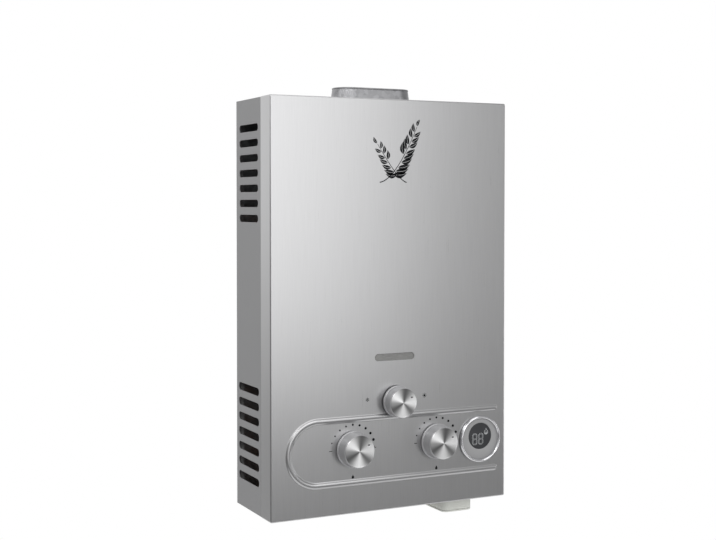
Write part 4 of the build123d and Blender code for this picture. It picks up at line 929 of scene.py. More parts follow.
# ---------------------------------------------------------------- knobs
class Knob:
    """One knob's names, and its sizes and places in the frame."""

    def __init__(self, key):
        self.key = key
        self.knob, self.face, self.body = KNOBS[key]
        low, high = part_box(self.knob)
        face_low, face_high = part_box(self.face)
        self.x, self.z = (low.x + high.x) / 2, (low.z + high.z) / 2
        self.radius, self.disc = (high.x - low.x) / 2, (face_high.x - face_low.x) / 2
        self.back, self.front = -high.y, -low.y
        self.face_back, self.face_front = -face_high.y, -face_low.y

    def pointer(self, controls):
        """Where the pointer's dimple is centred."""
        reach = controls.dimple_reach * self.disc
        return (self.x + reach * math.cos(controls.dimple_angle),
                self.z + reach * math.sin(controls.dimple_angle))


class HEATER_OT_knobs(Operator):
    """Turn the three knobs and their spun faces"""
    bl_idname = "heater.knobs"
    bl_label = "Knobs"

    def execute(self, context):
        controls = context.scene.heater_controls
        make_materials(context.scene.heater_finish)
        for key in KNOBS:
            knob = Knob(key)
            self.side(controls, knob)
            self.face(controls, knob)
            self.pointer(controls, knob)
        return {"FINISHED"}

    def side(self, controls, knob):
        """One knob's skirt, its tapered side and the seat of its face."""
        back, front, radius, disc = knob.back, knob.front, knob.radius, knob.disc
        neck, skirt, seat = radius - 1.1 * MM, back + controls.skirt, knob.face_back - 0.05 * MM
        profile = soften([
            (0, back), (radius - 1.2 * MM, back), (radius - 0.15 * MM, back + 0.25 * MM),
            (radius, skirt - 0.5 * MM), (radius - 0.35 * MM, skirt), (neck, skirt + 0.1 * MM),
            (neck - 0.35 * MM, skirt + 0.7 * MM), (disc + 1.0 * MM, front - 1.1 * MM),
            (disc + 0.85 * MM, front - 0.75 * MM), (disc + 0.55 * MM, front - 0.5 * MM),
            (disc + 0.45 * MM, seat), (0, seat),
        ], controls.rim)
        shell = skin(bmesh.new(), turned_rings(profile, knob.x, knob.z, 128))
        piece_from(shell, f"{knob.key}_knob_body", "satin_chrome", (knob.knob,),
                   body=knob.body, angle=40)

    def face(self, controls, knob):
        """One knob's spun disc, with a raised edge, a shallow dish and the pointer's dimple."""
        x, z, disc = knob.x, knob.z, knob.disc
        spot_x, spot_z = knob.pointer(controls)
        half, tip = (controls.dimple_length - controls.dimple_width) / 2, controls.dimple_width / 2
        ledge, dish, edge_drop, dimple = 0.08 * MM, 0.40 * MM, 0.25 * MM, 0.34 * MM

        def place(px, pz):
            r = math.hypot(px - x, pz - z)
            depth = knob.face_front - ledge * step_up((disc - 0.5 * MM - r) / (0.9 * MM))
            depth -= dish * (1 - min(1.0, r / disc) ** 2)
            depth -= edge_drop * step_up((r - disc + 0.30 * MM) / (0.30 * MM))
            away = math.hypot(max(0.0, abs(px - spot_x) - half), pz - spot_z)
            depth -= dimple * step_up((tip - away) / (0.6 * tip))
            return px, -depth, pz

        loops = [ring_of(x, z, disc - cut * MM, 128, 0.01 * i)
                 for i, cut in enumerate((0, 0.08, 0.18, 0.3, 0.5, 0.8, 1.1, 1.4, 1.7))]
        loops += [ring_of(x, z, share * disc, max(24, int(110 * share)), share)
                  for share in (0.85, 0.7, 0.5, 0.35, 0.2, 0.08)]
        loops += [slot_loop(spot_x, spot_z, half, tip * share, 8)
                  for share in (1.1, 1.0, 0.8, 0.6, 0.4, 0.15)]
        shell = relief_sheet(loops, [], place)
        rim, back = ring_of(x, z, disc, 128), -knob.face_back
        skin(shell, [[place(px, pz) for px, pz in rim], [(px, back, pz) for px, pz in rim], [(x, back, z)]])
        piece_from(shell, f"{knob.key}_knob_disc", f"spun_aluminium_{knob.key}", (knob.face,),
                   body=knob.body, angle=35)

    def pointer(self, controls, knob):
        """The grey paint in one pointer's dimple."""
        half, tip = (controls.dimple_length - controls.dimple_width) / 2, 0.40 * controls.dimple_width
        sunk, paint = 0.54 * MM, 0.14 * MM
        shell = bmesh.new()
        inked(shell, slot_loop(*knob.pointer(controls), half, tip, 10), knob.face_front - sunk, paint)
        piece_from(shell, f"{knob.key}_knob_pointer", "pointer_paint", body=knob.body)


# ---------------------------------------------------------------- display
SEGMENTS = {
    "top": ((0, 2), (1, 2)), "middle": ((0, 1), (1, 1)), "bottom": ((0, 0), (1, 0)),
    "upper_left": ((0, 1), (0, 2)), "upper_right": ((1, 1), (1, 2)),
    "lower_left": ((0, 0), (0, 1)), "lower_right": ((1, 0), (1, 1)),
}


def flat_bar(shell, outline, inner, front, thickness):
    """A flat band between two outlines, with walls."""
    rear = front - thickness
    rings = [[(x, -depth, z) for x, z in loop]
             for loop, depth in ((outline, front), (inner, front), (inner, rear), (outline, rear))]
    skin(shell, rings, closed=True)


def segment_outline(start, end, half_width, gap):
    """A six-cornered display segment between two points."""
    a, b = Vector(start), Vector(end)
    along = (b - a).normalized()
    across = Vector((-along.y, along.x)) * half_width
    a, b = a + along * gap, b - along * gap
    corners = (a, a + along * half_width + across, b - along * half_width + across, b,
               b - along * half_width - across, a + along * half_width - across)
    return [tuple(c) for c in corners]


class HEATER_OT_display(Operator):
    """Make the chrome ring, the grey face, the dark lens and the digits of the display"""
    bl_idname = "heater.display"
    bl_label = "Display"

    def execute(self, context):
        controls, casing = context.scene.heater_controls, context.scene.heater_casing
        make_materials(context.scene.heater_finish)
        low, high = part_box("display_bezel")
        x, z, plane = (low.x + high.x) / 2, (low.z + high.z) / 2, front_plane()
        house_low, house_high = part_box("display_housing")
        inner = (house_high.x - house_low.x) / 2
        lens_low, lens_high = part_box("display_lens")
        lens_z = (lens_low.z + lens_high.z) / 2
        self.ring(x, z, (high.x - low.x) / 2, inner, plane, -low.y)
        self.plate(x, z, inner, plane, -house_low.y, controls.lens_radius, lens_z)
        self.cup(x, z, casing.display_hole - 0.55 * MM, plane, -house_high.y)
        lens_front = -lens_low.y - 0.06 * MM
        self.window(x, lens_z, controls.lens_radius, -lens_high.y, lens_front)
        self.digits(controls, x, lens_z, lens_front)
        return {"FINISHED"}

    def ring(self, x, z, outer, inner, plane, front):
        """The chrome ring: a half-round crown on a shoulder, undercut at its outer foot."""
        middle, half = (outer + inner) / 2, (outer - inner) / 2 - 0.02 * MM
        shoulder, foot = plane + 1.2 * MM, outer - 1.3 * MM
        crown = [(middle + half * math.cos(angle), shoulder + (front - shoulder) * math.sin(angle))
                 for angle in (math.pi * i / 18 for i in range(19))]
        profile = [(foot, plane + 0.02 * MM), (foot, shoulder - 0.1 * MM), *crown,
                   (inner + 0.02 * MM, plane + 0.1 * MM)]
        shell = skin(bmesh.new(), turned_rings(profile, x, z, 128), closed=True)
        piece_from(shell, "display_ring", "polished_chrome", ("display_bezel",), angle=60)

    def plate(self, x, z, radius, plane, face, lens, lens_z):
        """The grey plate inside the ring, with the lens's hole above its middle."""
        back = plane + 0.02 * MM
        edge, mouth = radius - 0.02 * MM, lens + 0.12 * MM
        edge_round, mouth_round = 0.5 * MM, 0.45 * MM

        def place(px, pz):
            rim = math.hypot(px - x, pz - z)
            lip = math.hypot(px - x, pz - lens_z)
            depth = face - 0.25 * MM * step_up((rim - edge + edge_round) / edge_round)
            depth -= 0.22 * MM * step_up((mouth + mouth_round - lip) / mouth_round)
            return px, -depth, pz

        rims = [ring_of(x, z, edge - cut * MM, 128) for cut in (0, 0.15, 0.3, 0.5)]
        mouths = [ring_of(x, lens_z, mouth + cut * MM, 96) for cut in (0.15, 0.3, 0.45)]
        hole = ring_of(x, lens_z, mouth, 96)
        shell = relief_sheet([*rims, *mouths], [hole], place)
        rear = mesh_from(relief_sheet([rims[0]], [hole], lambda px, pz: (px, -back, pz)), "rear")
        shell.from_mesh(rear)
        bpy.data.meshes.remove(rear)
        for loop in (rims[0], hole):
            skin(shell, [[place(px, pz) for px, pz in loop], [(px, -back, pz) for px, pz in loop]])
        piece_from(shell, "display_face", "display_plate", ("display_housing",), angle=40)

    def cup(self, x, z, radius, plane, depth):
        """The cup behind the plate, inside the casing."""
        front, inner = plane + 0.01 * MM, radius - 1.5 * MM
        profile = [(radius, front), (radius, depth), (inner, depth), (inner, front)]
        shell = skin(bmesh.new(), turned_rings(profile, x, z, 96), closed=True)
        piece_from(shell, "display_cup", "display_plate", angle=40)

    def window(self, x, z, radius, back, front):
        """The dark lens, with a broken front edge."""
        profile = soften([(0, back), (radius, back), (radius, front - 0.15 * MM), (radius - 0.3 * MM, front),
                          (0, front)], 0.12 * MM)
        shell = skin(bmesh.new(), turned_rings(profile, x, z, 96))
        piece_from(shell, "display_window", "dark_lens", ("display_lens",), angle=40)

    def digits(self, controls, x, z, front):
        """Two digits in outline, and a small flame at their upper right."""
        height = controls.digit_height
        width, half, ink_depth, line = 0.44 * height, 0.058 * height, 0.05 * MM, 0.33 * MM
        level, flame_x, flame_z = z - 3.9 * MM, x + 9.2 * MM, z + 5.0 * MM
        shell = bmesh.new()
        for left in (x - 10.9 * MM, x - 1.7 * MM):
            for (x0, z0), (x1, z1) in SEGMENTS.values():
                start = (left + x0 * width, level + (z0 - 1) * height / 2)
                end = (left + x1 * width, level + (z1 - 1) * height / 2)
                outer = segment_outline(start, end, half, 0.3 * MM)
                inner = segment_outline(start, end, half - line, 0.8 * MM)
                flat_bar(shell, outer, inner, front + ink_depth, ink_depth)
        for size, lift in ((4.3 * MM, 0.0), (1.9 * MM, -1.5 * MM)):
            outer = flame_loop(flame_x, flame_z + lift, size)
            inner = flame_loop(flame_x, flame_z + lift, size - 0.9 * MM)
            flat_bar(shell, outer, inner, front + ink_depth, ink_depth)
        piece_from(shell, "display_digits", "display_segments")


# ---------------------------------------------------------------- printed marks
def inked(shell, outline, front, thickness):
    """A flat filled shape of ink with walls."""
    top = [shell.verts.new((x, -(front + thickness), z)) for x, z in outline]
    bottom = [shell.verts.new((x, -front, z)) for x, z in outline]
    fill = tessellate_polygon([[Vector((x, z, 0)) for x, z in outline]])
    for a, b, c in fill:
        shell.faces.new((top[a], top[b], top[c]))
        shell.faces.new((bottom[c], bottom[b], bottom[a]))
    for i in range(len(outline)):
        j = (i + 1) % len(outline)
        shell.faces.new((top[i], top[j], bottom[j], bottom[i]))


def stroke_outline(points, width, end_width=None):
    """The outline of a pen stroke along points, which may change its width on the way."""
    last = len(points) - 1
    growth = 0.0 if end_width is None else end_width - width
    left, right = [], []
    for i, point in enumerate(points):
        along = (Vector(points[min(last, i + 1)]) - Vector(points[max(0, i - 1)])).normalized()
        across = Vector((-along.y, along.x)) * (width + growth * i / last) / 2
        left.append(tuple(Vector(point) + across))
        right.append(tuple(Vector(point) - across))
    return left + right[::-1]


def curve_points(start, first, second, end, count):
    """Points on a smooth curve between two ends with two handles."""
    flat = [Vector((*p, 0)) for p in (start, first, second, end)]
    return [(p.x, p.y) for p in interpolate_bezier(*flat, count)]


def flame_loop(x, z, size):
    """The outline of a small flame that leans a little."""
    half = [(0.0, 1.15), (0.30, 0.62), (0.62, 0.25), (0.74, -0.18), (0.60, -0.58), (0.28, -0.82),
            (0.0, -0.88)]
    right = [(x + size * a, z + size * b) for a, b in half]
    left = [(x - size * a * (0.92 if b < 0.3 else 0.6), z + size * b) for a, b in half[1:-1]]
    return right + left[::-1]


def drop_loop(x, z, radius):
    """The outline of a water drop."""
    loop = []
    for px, pz in ring_of(0, 0, 1, 28):
        lift = max(0.0, pz)
        loop.append((x + radius * px * (1 - 0.55 * lift ** 1.5), z + radius * pz * (1 + 0.75 * lift ** 2)))
    return loop


class HEATER_OT_marks(Operator):
    """Print the dot scales, signs and pictograms round the knobs"""
    bl_idname = "heater.marks"
    bl_label = "Printed marks"

    def execute(self, context):
        marks = context.scene.heater_marks
        make_materials(context.scene.heater_finish)
        plane = front_plane()
        gas, water, season = (node_middle(knob) for knob, _, _ in KNOBS.values())
        points = [(spot.x, -(plane + marks.ink / 2), spot.z) for spot in (gas, water)]
        mesh = grown_mesh(dot_scale_tree(), points, {
            "Count": marks.dot_count, "Circle": marks.dot_circle, "Smallest": marks.dot_smallest,
            "Largest": marks.dot_largest, "Start": marks.dot_start, "Sweep": marks.dot_sweep,
            "Thickness": marks.ink, "Material": MATERIALS["ink"],
        })
        piece_of(mesh, "dot_scales", "ink")
        self.signs(marks, plane, (gas, water))
        self.pictograms(marks, plane, gas, water, season)
        return {"FINISHED"}

    def signs(self, marks, plane, spots):
        """A minus at the start and a plus at the end of each scale."""
        half_bar, half_stroke, corner = 2.1 * MM, 0.42 * MM, 0.2 * MM
        half_arm = (half_bar - half_stroke) / 2
        shell = bmesh.new()
        for spot in spots:
            for side in (-1, 1):
                x, z = spot.x + side * marks.dot_circle, spot.z - 0.6 * MM
                inked(shell, rounded_loop(half_bar, half_stroke, corner, 3, (x, z)), plane, marks.ink)
                arms = (-1, 1) if side > 0 else ()
                for end in arms:
                    middle = (x, z + end * (half_stroke + half_arm + 0.01 * MM))
                    inked(shell, rounded_loop(half_stroke, half_arm, corner, 3, middle), plane, marks.ink)
        piece_from(shell, "scale_signs", "ink")

    def pictograms(self, marks, plane, gas, water, season):
        """A flame and a drop under the knobs, and a sun and a snow star beside the season knob."""
        foot, level = gas.z - 35.2 * MM, season.z + 4.4 * MM
        outlines = [flame_loop(gas.x, foot, 2.6 * MM), drop_loop(water.x, foot, 1.9 * MM)]
        outlines += self.sun(season.x + 40.8 * MM, level)
        outlines += self.star(season.x - 41.1 * MM, level)
        shell = bmesh.new()
        for outline in outlines:
            inked(shell, outline, plane, marks.ink)
        piece_from(shell, "pictograms", "ink")

    def sun(self, x, z):
        """The outlines of a disc and eight rays."""
        outlines = [ring_of(x, z, 1.6 * MM, 24)]
        for i in range(8):
            angle = math.pi / 4 * i
            ray = [(x + r * MM * math.cos(angle), z + r * MM * math.sin(angle)) for r in (2.0, 2.6, 3.2)]
            outlines.append(stroke_outline(ray, 0.7 * MM))
        return outlines

    def star(self, x, z):
        """The outlines of three crossed bars with a pair of twigs at each end."""
        half_bar, fork, twig = 2.6, 1.5 * MM, 0.95 * MM
        outlines = []
        for i in range(3):
            angle = math.pi / 3 * i + math.pi / 6
            along = Vector((math.cos(angle), math.sin(angle)))
            bar = [(x + r * MM * along.x, z + r * MM * along.y) for r in (-half_bar, 0, half_bar)]
            outlines.append(stroke_outline(bar, 0.5 * MM))
            for end in (-1, 1):
                root = Vector((x, z)) + end * along * fork
                for bend in (-1, 1):
                    tip_angle = angle + (0 if end > 0 else math.pi) + bend * math.pi / 4
                    tip = root + Vector((math.cos(tip_angle), math.sin(tip_angle))) * twig
                    outlines.append(stroke_outline([tuple(root), tuple(tip)], 0.42 * MM))
        return outlines


# ---------------------------------------------------------------- leaf print
class HEATER_OT_leaf_print(Operator):
    """Print two crossed sprigs of slim leaves on the upper front"""
    bl_idname = "heater.leaf_print"
    bl_label = "Leaf print"

    def execute(self, context):
        marks = context.scene.heater_marks
        make_materials(context.scene.heater_finish)
        shell = bmesh.new()
        for mirror, tall, lean, count in ((1, 1.0, 0.40, 18), (-1, 0.68, 0.50, 13)):
            self.sprig(shell, marks, mirror, tall, lean, count)
        piece_from(shell, "leaf_print", "ink")
        return {"FINISHED"}

    def sprig(self, shell, marks, mirror, tall, lean, count):
        """One sprig: a bowed stem with a leaf at its tip and leaves by turns on its two sides."""
        x, foot, h, stem_steps, first_leaf = marks.sprig_x, marks.sprig_z, marks.sprig_height, 48, 16
        stem = curve_points((x - mirror * 0.30 * h * tall, foot), (x - mirror * 0.08 * h, foot + 0.03 * h),
                            (x + mirror * 0.16 * h * tall, foot + 0.40 * h * tall),
                            (x + mirror * lean * h * tall, foot + 0.93 * h * tall), stem_steps)
        inked(shell, stroke_outline(stem, 1.3 * MM, 0.6 * MM), front_plane(), marks.ink)
        for i in range(count):
            at = first_leaf + int(i * (stem_steps - first_leaf - 2) / count)
            root = Vector(stem[at])
            along = (Vector(stem[at + 1]) - root).normalized()
            side = 1 if i % 2 else -1
            crossing = side == mirror and root.y < foot + 0.36 * h
            if not crossing:
                reach = (0.28 - 0.12 * i / count) * h * (0.5 + 0.5 * tall)
                angle = math.atan2(along.y, along.x) + side * math.radians(44 - 12 * i / count)
                self.leaf(shell, marks, root, angle, reach, side)
        tip = Vector(stem[-1])
        ahead = tip - Vector(stem[-2])
        self.leaf(shell, marks, tip, math.atan2(ahead.y, ahead.x), 0.14 * h, 1)

    def leaf(self, shell, marks, root, angle, reach, side):
        """One slim leaf in two dark halves, with a bare midrib between them and a notched rim."""
        along = Vector((math.cos(angle), math.sin(angle)))
        across = Vector((-along.y, along.x))
        bow, half_rib, steps = side * 0.10 * reach, 0.17 * MM, 16

        def at(share, offset):
            sag = bow * math.sin(math.pi * share)
            return tuple(root + along * reach * share + across * (offset + sag))

        def half_width(share):
            return 0.20 * reach * math.sin(math.pi * min(1.0, share) ** 0.8)

        for edge in (-1, 1):
            rib, rim = [], []
            for i in range(steps + 1):
                notch = 0.90 + 0.10 * (i % 2)
                rib.append(at(0.10 + 0.86 * i / steps, edge * half_rib))
                rim.append(at(0.10 + 0.90 * i / steps, edge * max(0.2 * MM, half_width(i / steps) * notch)))
            inked(shell, rib + rim[::-1], front_plane(), marks.ink)


# ---------------------------------------------------------------- flue collar
def between(start, end, share):
    """A point part of the way from start to end."""
    return tuple(a + (b - a) * share for a, b in zip(start, end))


class HEATER_OT_flue_collar(Operator):
    """Roll the flue collar with its beaded lip and its rim"""
    bl_idname = "heater.flue_collar"
    bl_label = "Flue collar"

    def execute(self, context):
        casing = context.scene.heater_casing
        make_materials(context.scene.heater_finish)
        low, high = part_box("flue_collar")
        x, y = (low.x + high.x) / 2, (low.y + high.y) / 2
        rim = (high.y - low.y) / 2
        half_length = (high.x - low.x) / 2 - rim
        sheet, roll = casing.sheet, 1.1 * MM
        base, top, flange = rim - 6.0 * MM, rim - 7.5 * MM, low.z + sheet
        foot, neck = (base + 0.1 * MM, flange + 1.0 * MM), (top - 0.35 * MM, high.z - 2.6 * MM)
        lip = arc(top - roll, high.z - roll, roll, math.radians(-60), math.radians(290), 10)
        profile = [
            (rim, low.z), (rim, low.z + sheet * 0.6), (rim - 0.3 * MM, flange), (base + 1.6 * MM, flange),
            (base + 0.7 * MM, flange + 0.3 * MM), foot, between(foot, neck, 0.06), between(foot, neck, 0.94),
            neck, *lip, (top - 1.3 * MM - sheet, high.z - 3.4 * MM), (base - sheet, flange + 0.5 * MM),
            (base - sheet, low.z),
        ]
        rings = [[(px, py, height) for px, py in slot_loop(x, y, half_length, radius, 24)]
                 for radius, height in profile]
        shell = skin(bmesh.new(), rings, closed=True)
        piece_from(shell, "flue_collar_lip", "collar_zinc", ("flue_collar",), angle=35)
        return {"FINISHED"}


# ---------------------------------------------------------------- battery compartment
class HEATER_OT_battery_compartment(Operator):
    """Mould the battery compartment and its lid with a finger catch"""
    bl_idname = "heater.battery_compartment"
    bl_label = "Battery compartment"

    def execute(self, context):
        make_materials(context.scene.heater_finish)
        low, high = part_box("battery_box")
        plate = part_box("battery_door")[0].z + 0.25 * MM
        plan = ((low.x + high.x) / 2, low.y + 36.0 * MM, (high.x - low.x) / 2, 36.0 * MM)
        foot, back = plate + 2.5 * MM, plan[1] + plan[3]
        axis = (back + 2.9 * MM, plate + 2.35 * MM)
        self.case(plan, foot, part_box("bottom_panel")[0].z, high.z)
        self.hinge_lugs(plan[0], back, foot, axis)
        self.lid(plan, plate, axis)
        self.cells()
        return {"FINISHED"}

    def ring(self, plan, inset, height, corner=9.0 * MM):
        """A level round-cornered ring, drawn in from the outside."""
        x, y, half_x, half_y = plan
        loop = rounded_loop(half_x - inset, half_y - inset, max(0.6 * MM, corner - inset), 6, (x, y))
        return [(px, py, height) for px, py in loop]

    def case(self, plan, foot, panel, top):
        """The open case, which narrows where it passes through the bottom panel."""
        x, y = plan[:2]
        wall, step = 1.6 * MM, 0.5 * MM
        outer = [(step, foot), (0.15 * MM, foot + 0.15 * MM), (0, foot + 0.5 * MM), (0, panel - 1.2 * MM),
                 (step, panel - 0.7 * MM), (step, top - 1.5 * MM), (0.9 * MM, top - 0.5 * MM),
                 (2.0 * MM, top)]
        inner = [(wall + 0.8 * MM, top - wall), (wall, top - wall - 1.0 * MM), (wall, foot + 0.3 * MM),
                 (wall - 0.3 * MM, foot)]
        made = [self.ring(plan, inset, height) for inset, height in outer]
        cavity = [self.ring(plan, inset, height) for inset, height in inner]
        shell = skin(bmesh.new(), [*made, [(x, y, top)]])
        skin(shell, [[(x, y, top - wall)], *cavity, made[0]])
        piece_from(shell, "battery_case", "white_plastic", ("battery_box",), angle=50)

    def cells(self):
        """Two dry cells: a sleeve with rolled edges, a flat minus end and a plus end with its nub."""
        low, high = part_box("battery_cells")
        radius = (high.x - low.x) / 2
        x, foot, top = low.x + radius, low.z, high.z - 1.5 * MM
        edge, sunk, minus_face, plus_face = radius - 2.2 * MM, 1.2 * MM, foot + 0.35 * MM, top - 0.35 * MM
        rim = edge + 0.2 * MM
        sleeve = [(edge, top - 0.9 * MM), (edge, foot + 0.8 * MM), (edge, foot + 0.25 * MM),
                  (edge + 0.3 * MM, foot), (radius - 0.7 * MM, foot), (radius - 0.2 * MM, foot + 0.2 * MM),
                  (radius, foot + 0.8 * MM), (radius, top - 0.8 * MM), (radius - 0.2 * MM, top - 0.2 * MM),
                  (radius - 0.7 * MM, top), (edge + 0.3 * MM, top), (edge, top - 0.25 * MM)]
        minus = [(0, foot + 0.1 * MM), (7.4 * MM, foot + 0.1 * MM), (8.2 * MM, minus_face),
                 (rim, minus_face), (rim, foot + sunk), (0, foot + sunk)]
        plus = [(0, top - sunk), (rim, top - sunk), (rim, plus_face), (5.6 * MM, plus_face),
                (4.75 * MM, top), (4.6 * MM, high.z - 0.4 * MM), (4.2 * MM, high.z), (0, high.z)]
        sleeves, ends = bmesh.new(), bmesh.new()
        for y in (low.y + radius, high.y - radius):
            skin(sleeves, upright_rings(sleeve, x, y, 72), closed=True)
            skin(ends, upright_rings(minus, x, y, 72))
            skin(ends, upright_rings(plus, x, y, 72))
        piece_from(sleeves, "cell_sleeves", "cell_wrap", ("battery_cells",))
        piece_from(ends, "cell_ends", "spring_steel", ("battery_cells",))

    def barrel(self, shell, start, end, radius, axis, cut):
        """A round bar along X with its two edges broken."""
        step = math.copysign(cut, end - start)
        ends = ((start, radius - cut), (start + step, radius), (end - step, radius), (end, radius - cut))
        rings = [[(px, py, pz) for py, pz in ring_of(*axis, r, 32)] for px, r in ends]
        skin(shell, [[(start, *axis)], *rings, [(end, *axis)]])

    def block(self, shell, across, along, upright, cut):
        """A block with its lower edges broken; each of its three sizes is a (low, high) pair."""
        (x0, x1), (y0, y1), (z0, z1) = across, along, upright
        middle, half_x, half_y = ((x0 + x1) / 2, (y0 + y1) / 2), abs(x1 - x0) / 2, (y1 - y0) / 2
        rings = []
        for inset, height in ((cut, z0), (0, z0 + cut), (0, z1)):
            loop = rounded_loop(half_x - inset, half_y - inset, 0.2 * MM, 2, middle)
            rings.append([(px, py, height) for px, py in loop])
        skin(shell, [[(*middle, z0)], *rings, [(*middle, z1)]])

    def hinge_lugs(self, x, back, foot, axis):
        """The two lugs on the case that hold the lid's pin."""
        near, far, pin = 7.3 * MM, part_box("battery_door")[1].x - x - 5.0 * MM, 7.5 * MM
        shell = bmesh.new()
        for side in (-1, 1):
            start, end = x + side * near, x + side * far
            self.barrel(shell, start, end, 2.6 * MM, axis, 0.25 * MM)
            self.block(shell, (start, end), (back - 1.0 * MM, axis[0]),
                       (foot + 0.1 * MM, axis[1] + 2.45 * MM), 0.05 * MM)
        self.barrel(shell, x - pin, x + pin, 1.0 * MM, axis, 0.05 * MM)
        piece_from(shell, "battery_hinge_lugs", "white_plastic", angle=40)

    def lid(self, plan, plate, axis):
        """The lid with a ribbed catch at the front and its knuckle at the back."""
        x, y, _, half_y = plan
        top, knuckle = plate + 2.2 * MM, (x - 6.95 * MM, x + 6.95 * MM)
        profile = [(1.2 * MM, plate), (0.4 * MM, plate + 0.25 * MM), (0.1 * MM, plate + 0.8 * MM),
                   (0.1 * MM, top - 0.3 * MM), (0.4 * MM, top)]
        rings = [self.ring(plan, inset, height) for inset, height in profile]
        shell = skin(bmesh.new(), [[(x, y, plate)], *rings, [(x, y, top)]])
        ribs, first, pitch, half_rib = 5, 3.0 * MM, 2.2 * MM, 0.7 * MM
        for i in range(ribs):
            rib = y - half_y + first + pitch * i
            self.block(shell, (x - 7.0 * MM, x + 7.0 * MM), (rib - half_rib, rib + half_rib),
                       (plate - 0.2 * MM, plate + 0.2 * MM), 0.15 * MM)
        self.block(shell, knuckle, (y + half_y - 2.2 * MM, axis[0]),
                   (plate + 0.02 * MM, top - 0.02 * MM), 0.2 * MM)
        self.barrel(shell, *knuckle, 2.58 * MM, axis, 0.25 * MM)
        piece_from(shell, "battery_lid", "white_plastic", ("battery_door",),
                   body="battery_lid", angle=40)


# ---------------------------------------------------------------- ports
def hexagon_radius(across, angle):
    """How far a hexagon's side lies from its middle in one direction; two sides face front and back."""
    step = math.pi / 3
    return across / 2 / math.cos((angle - math.pi / 2 + step / 2) % step - step / 2)


def hexagon_rings(profile, x, y, count, across):
    """Upright rings cut down to a hexagon where they are wider than its sides."""
    def cut(nominal, height, angle):
        return min(nominal, hexagon_radius(across, angle))

    return upright_rings(profile, x, y, count, cut)


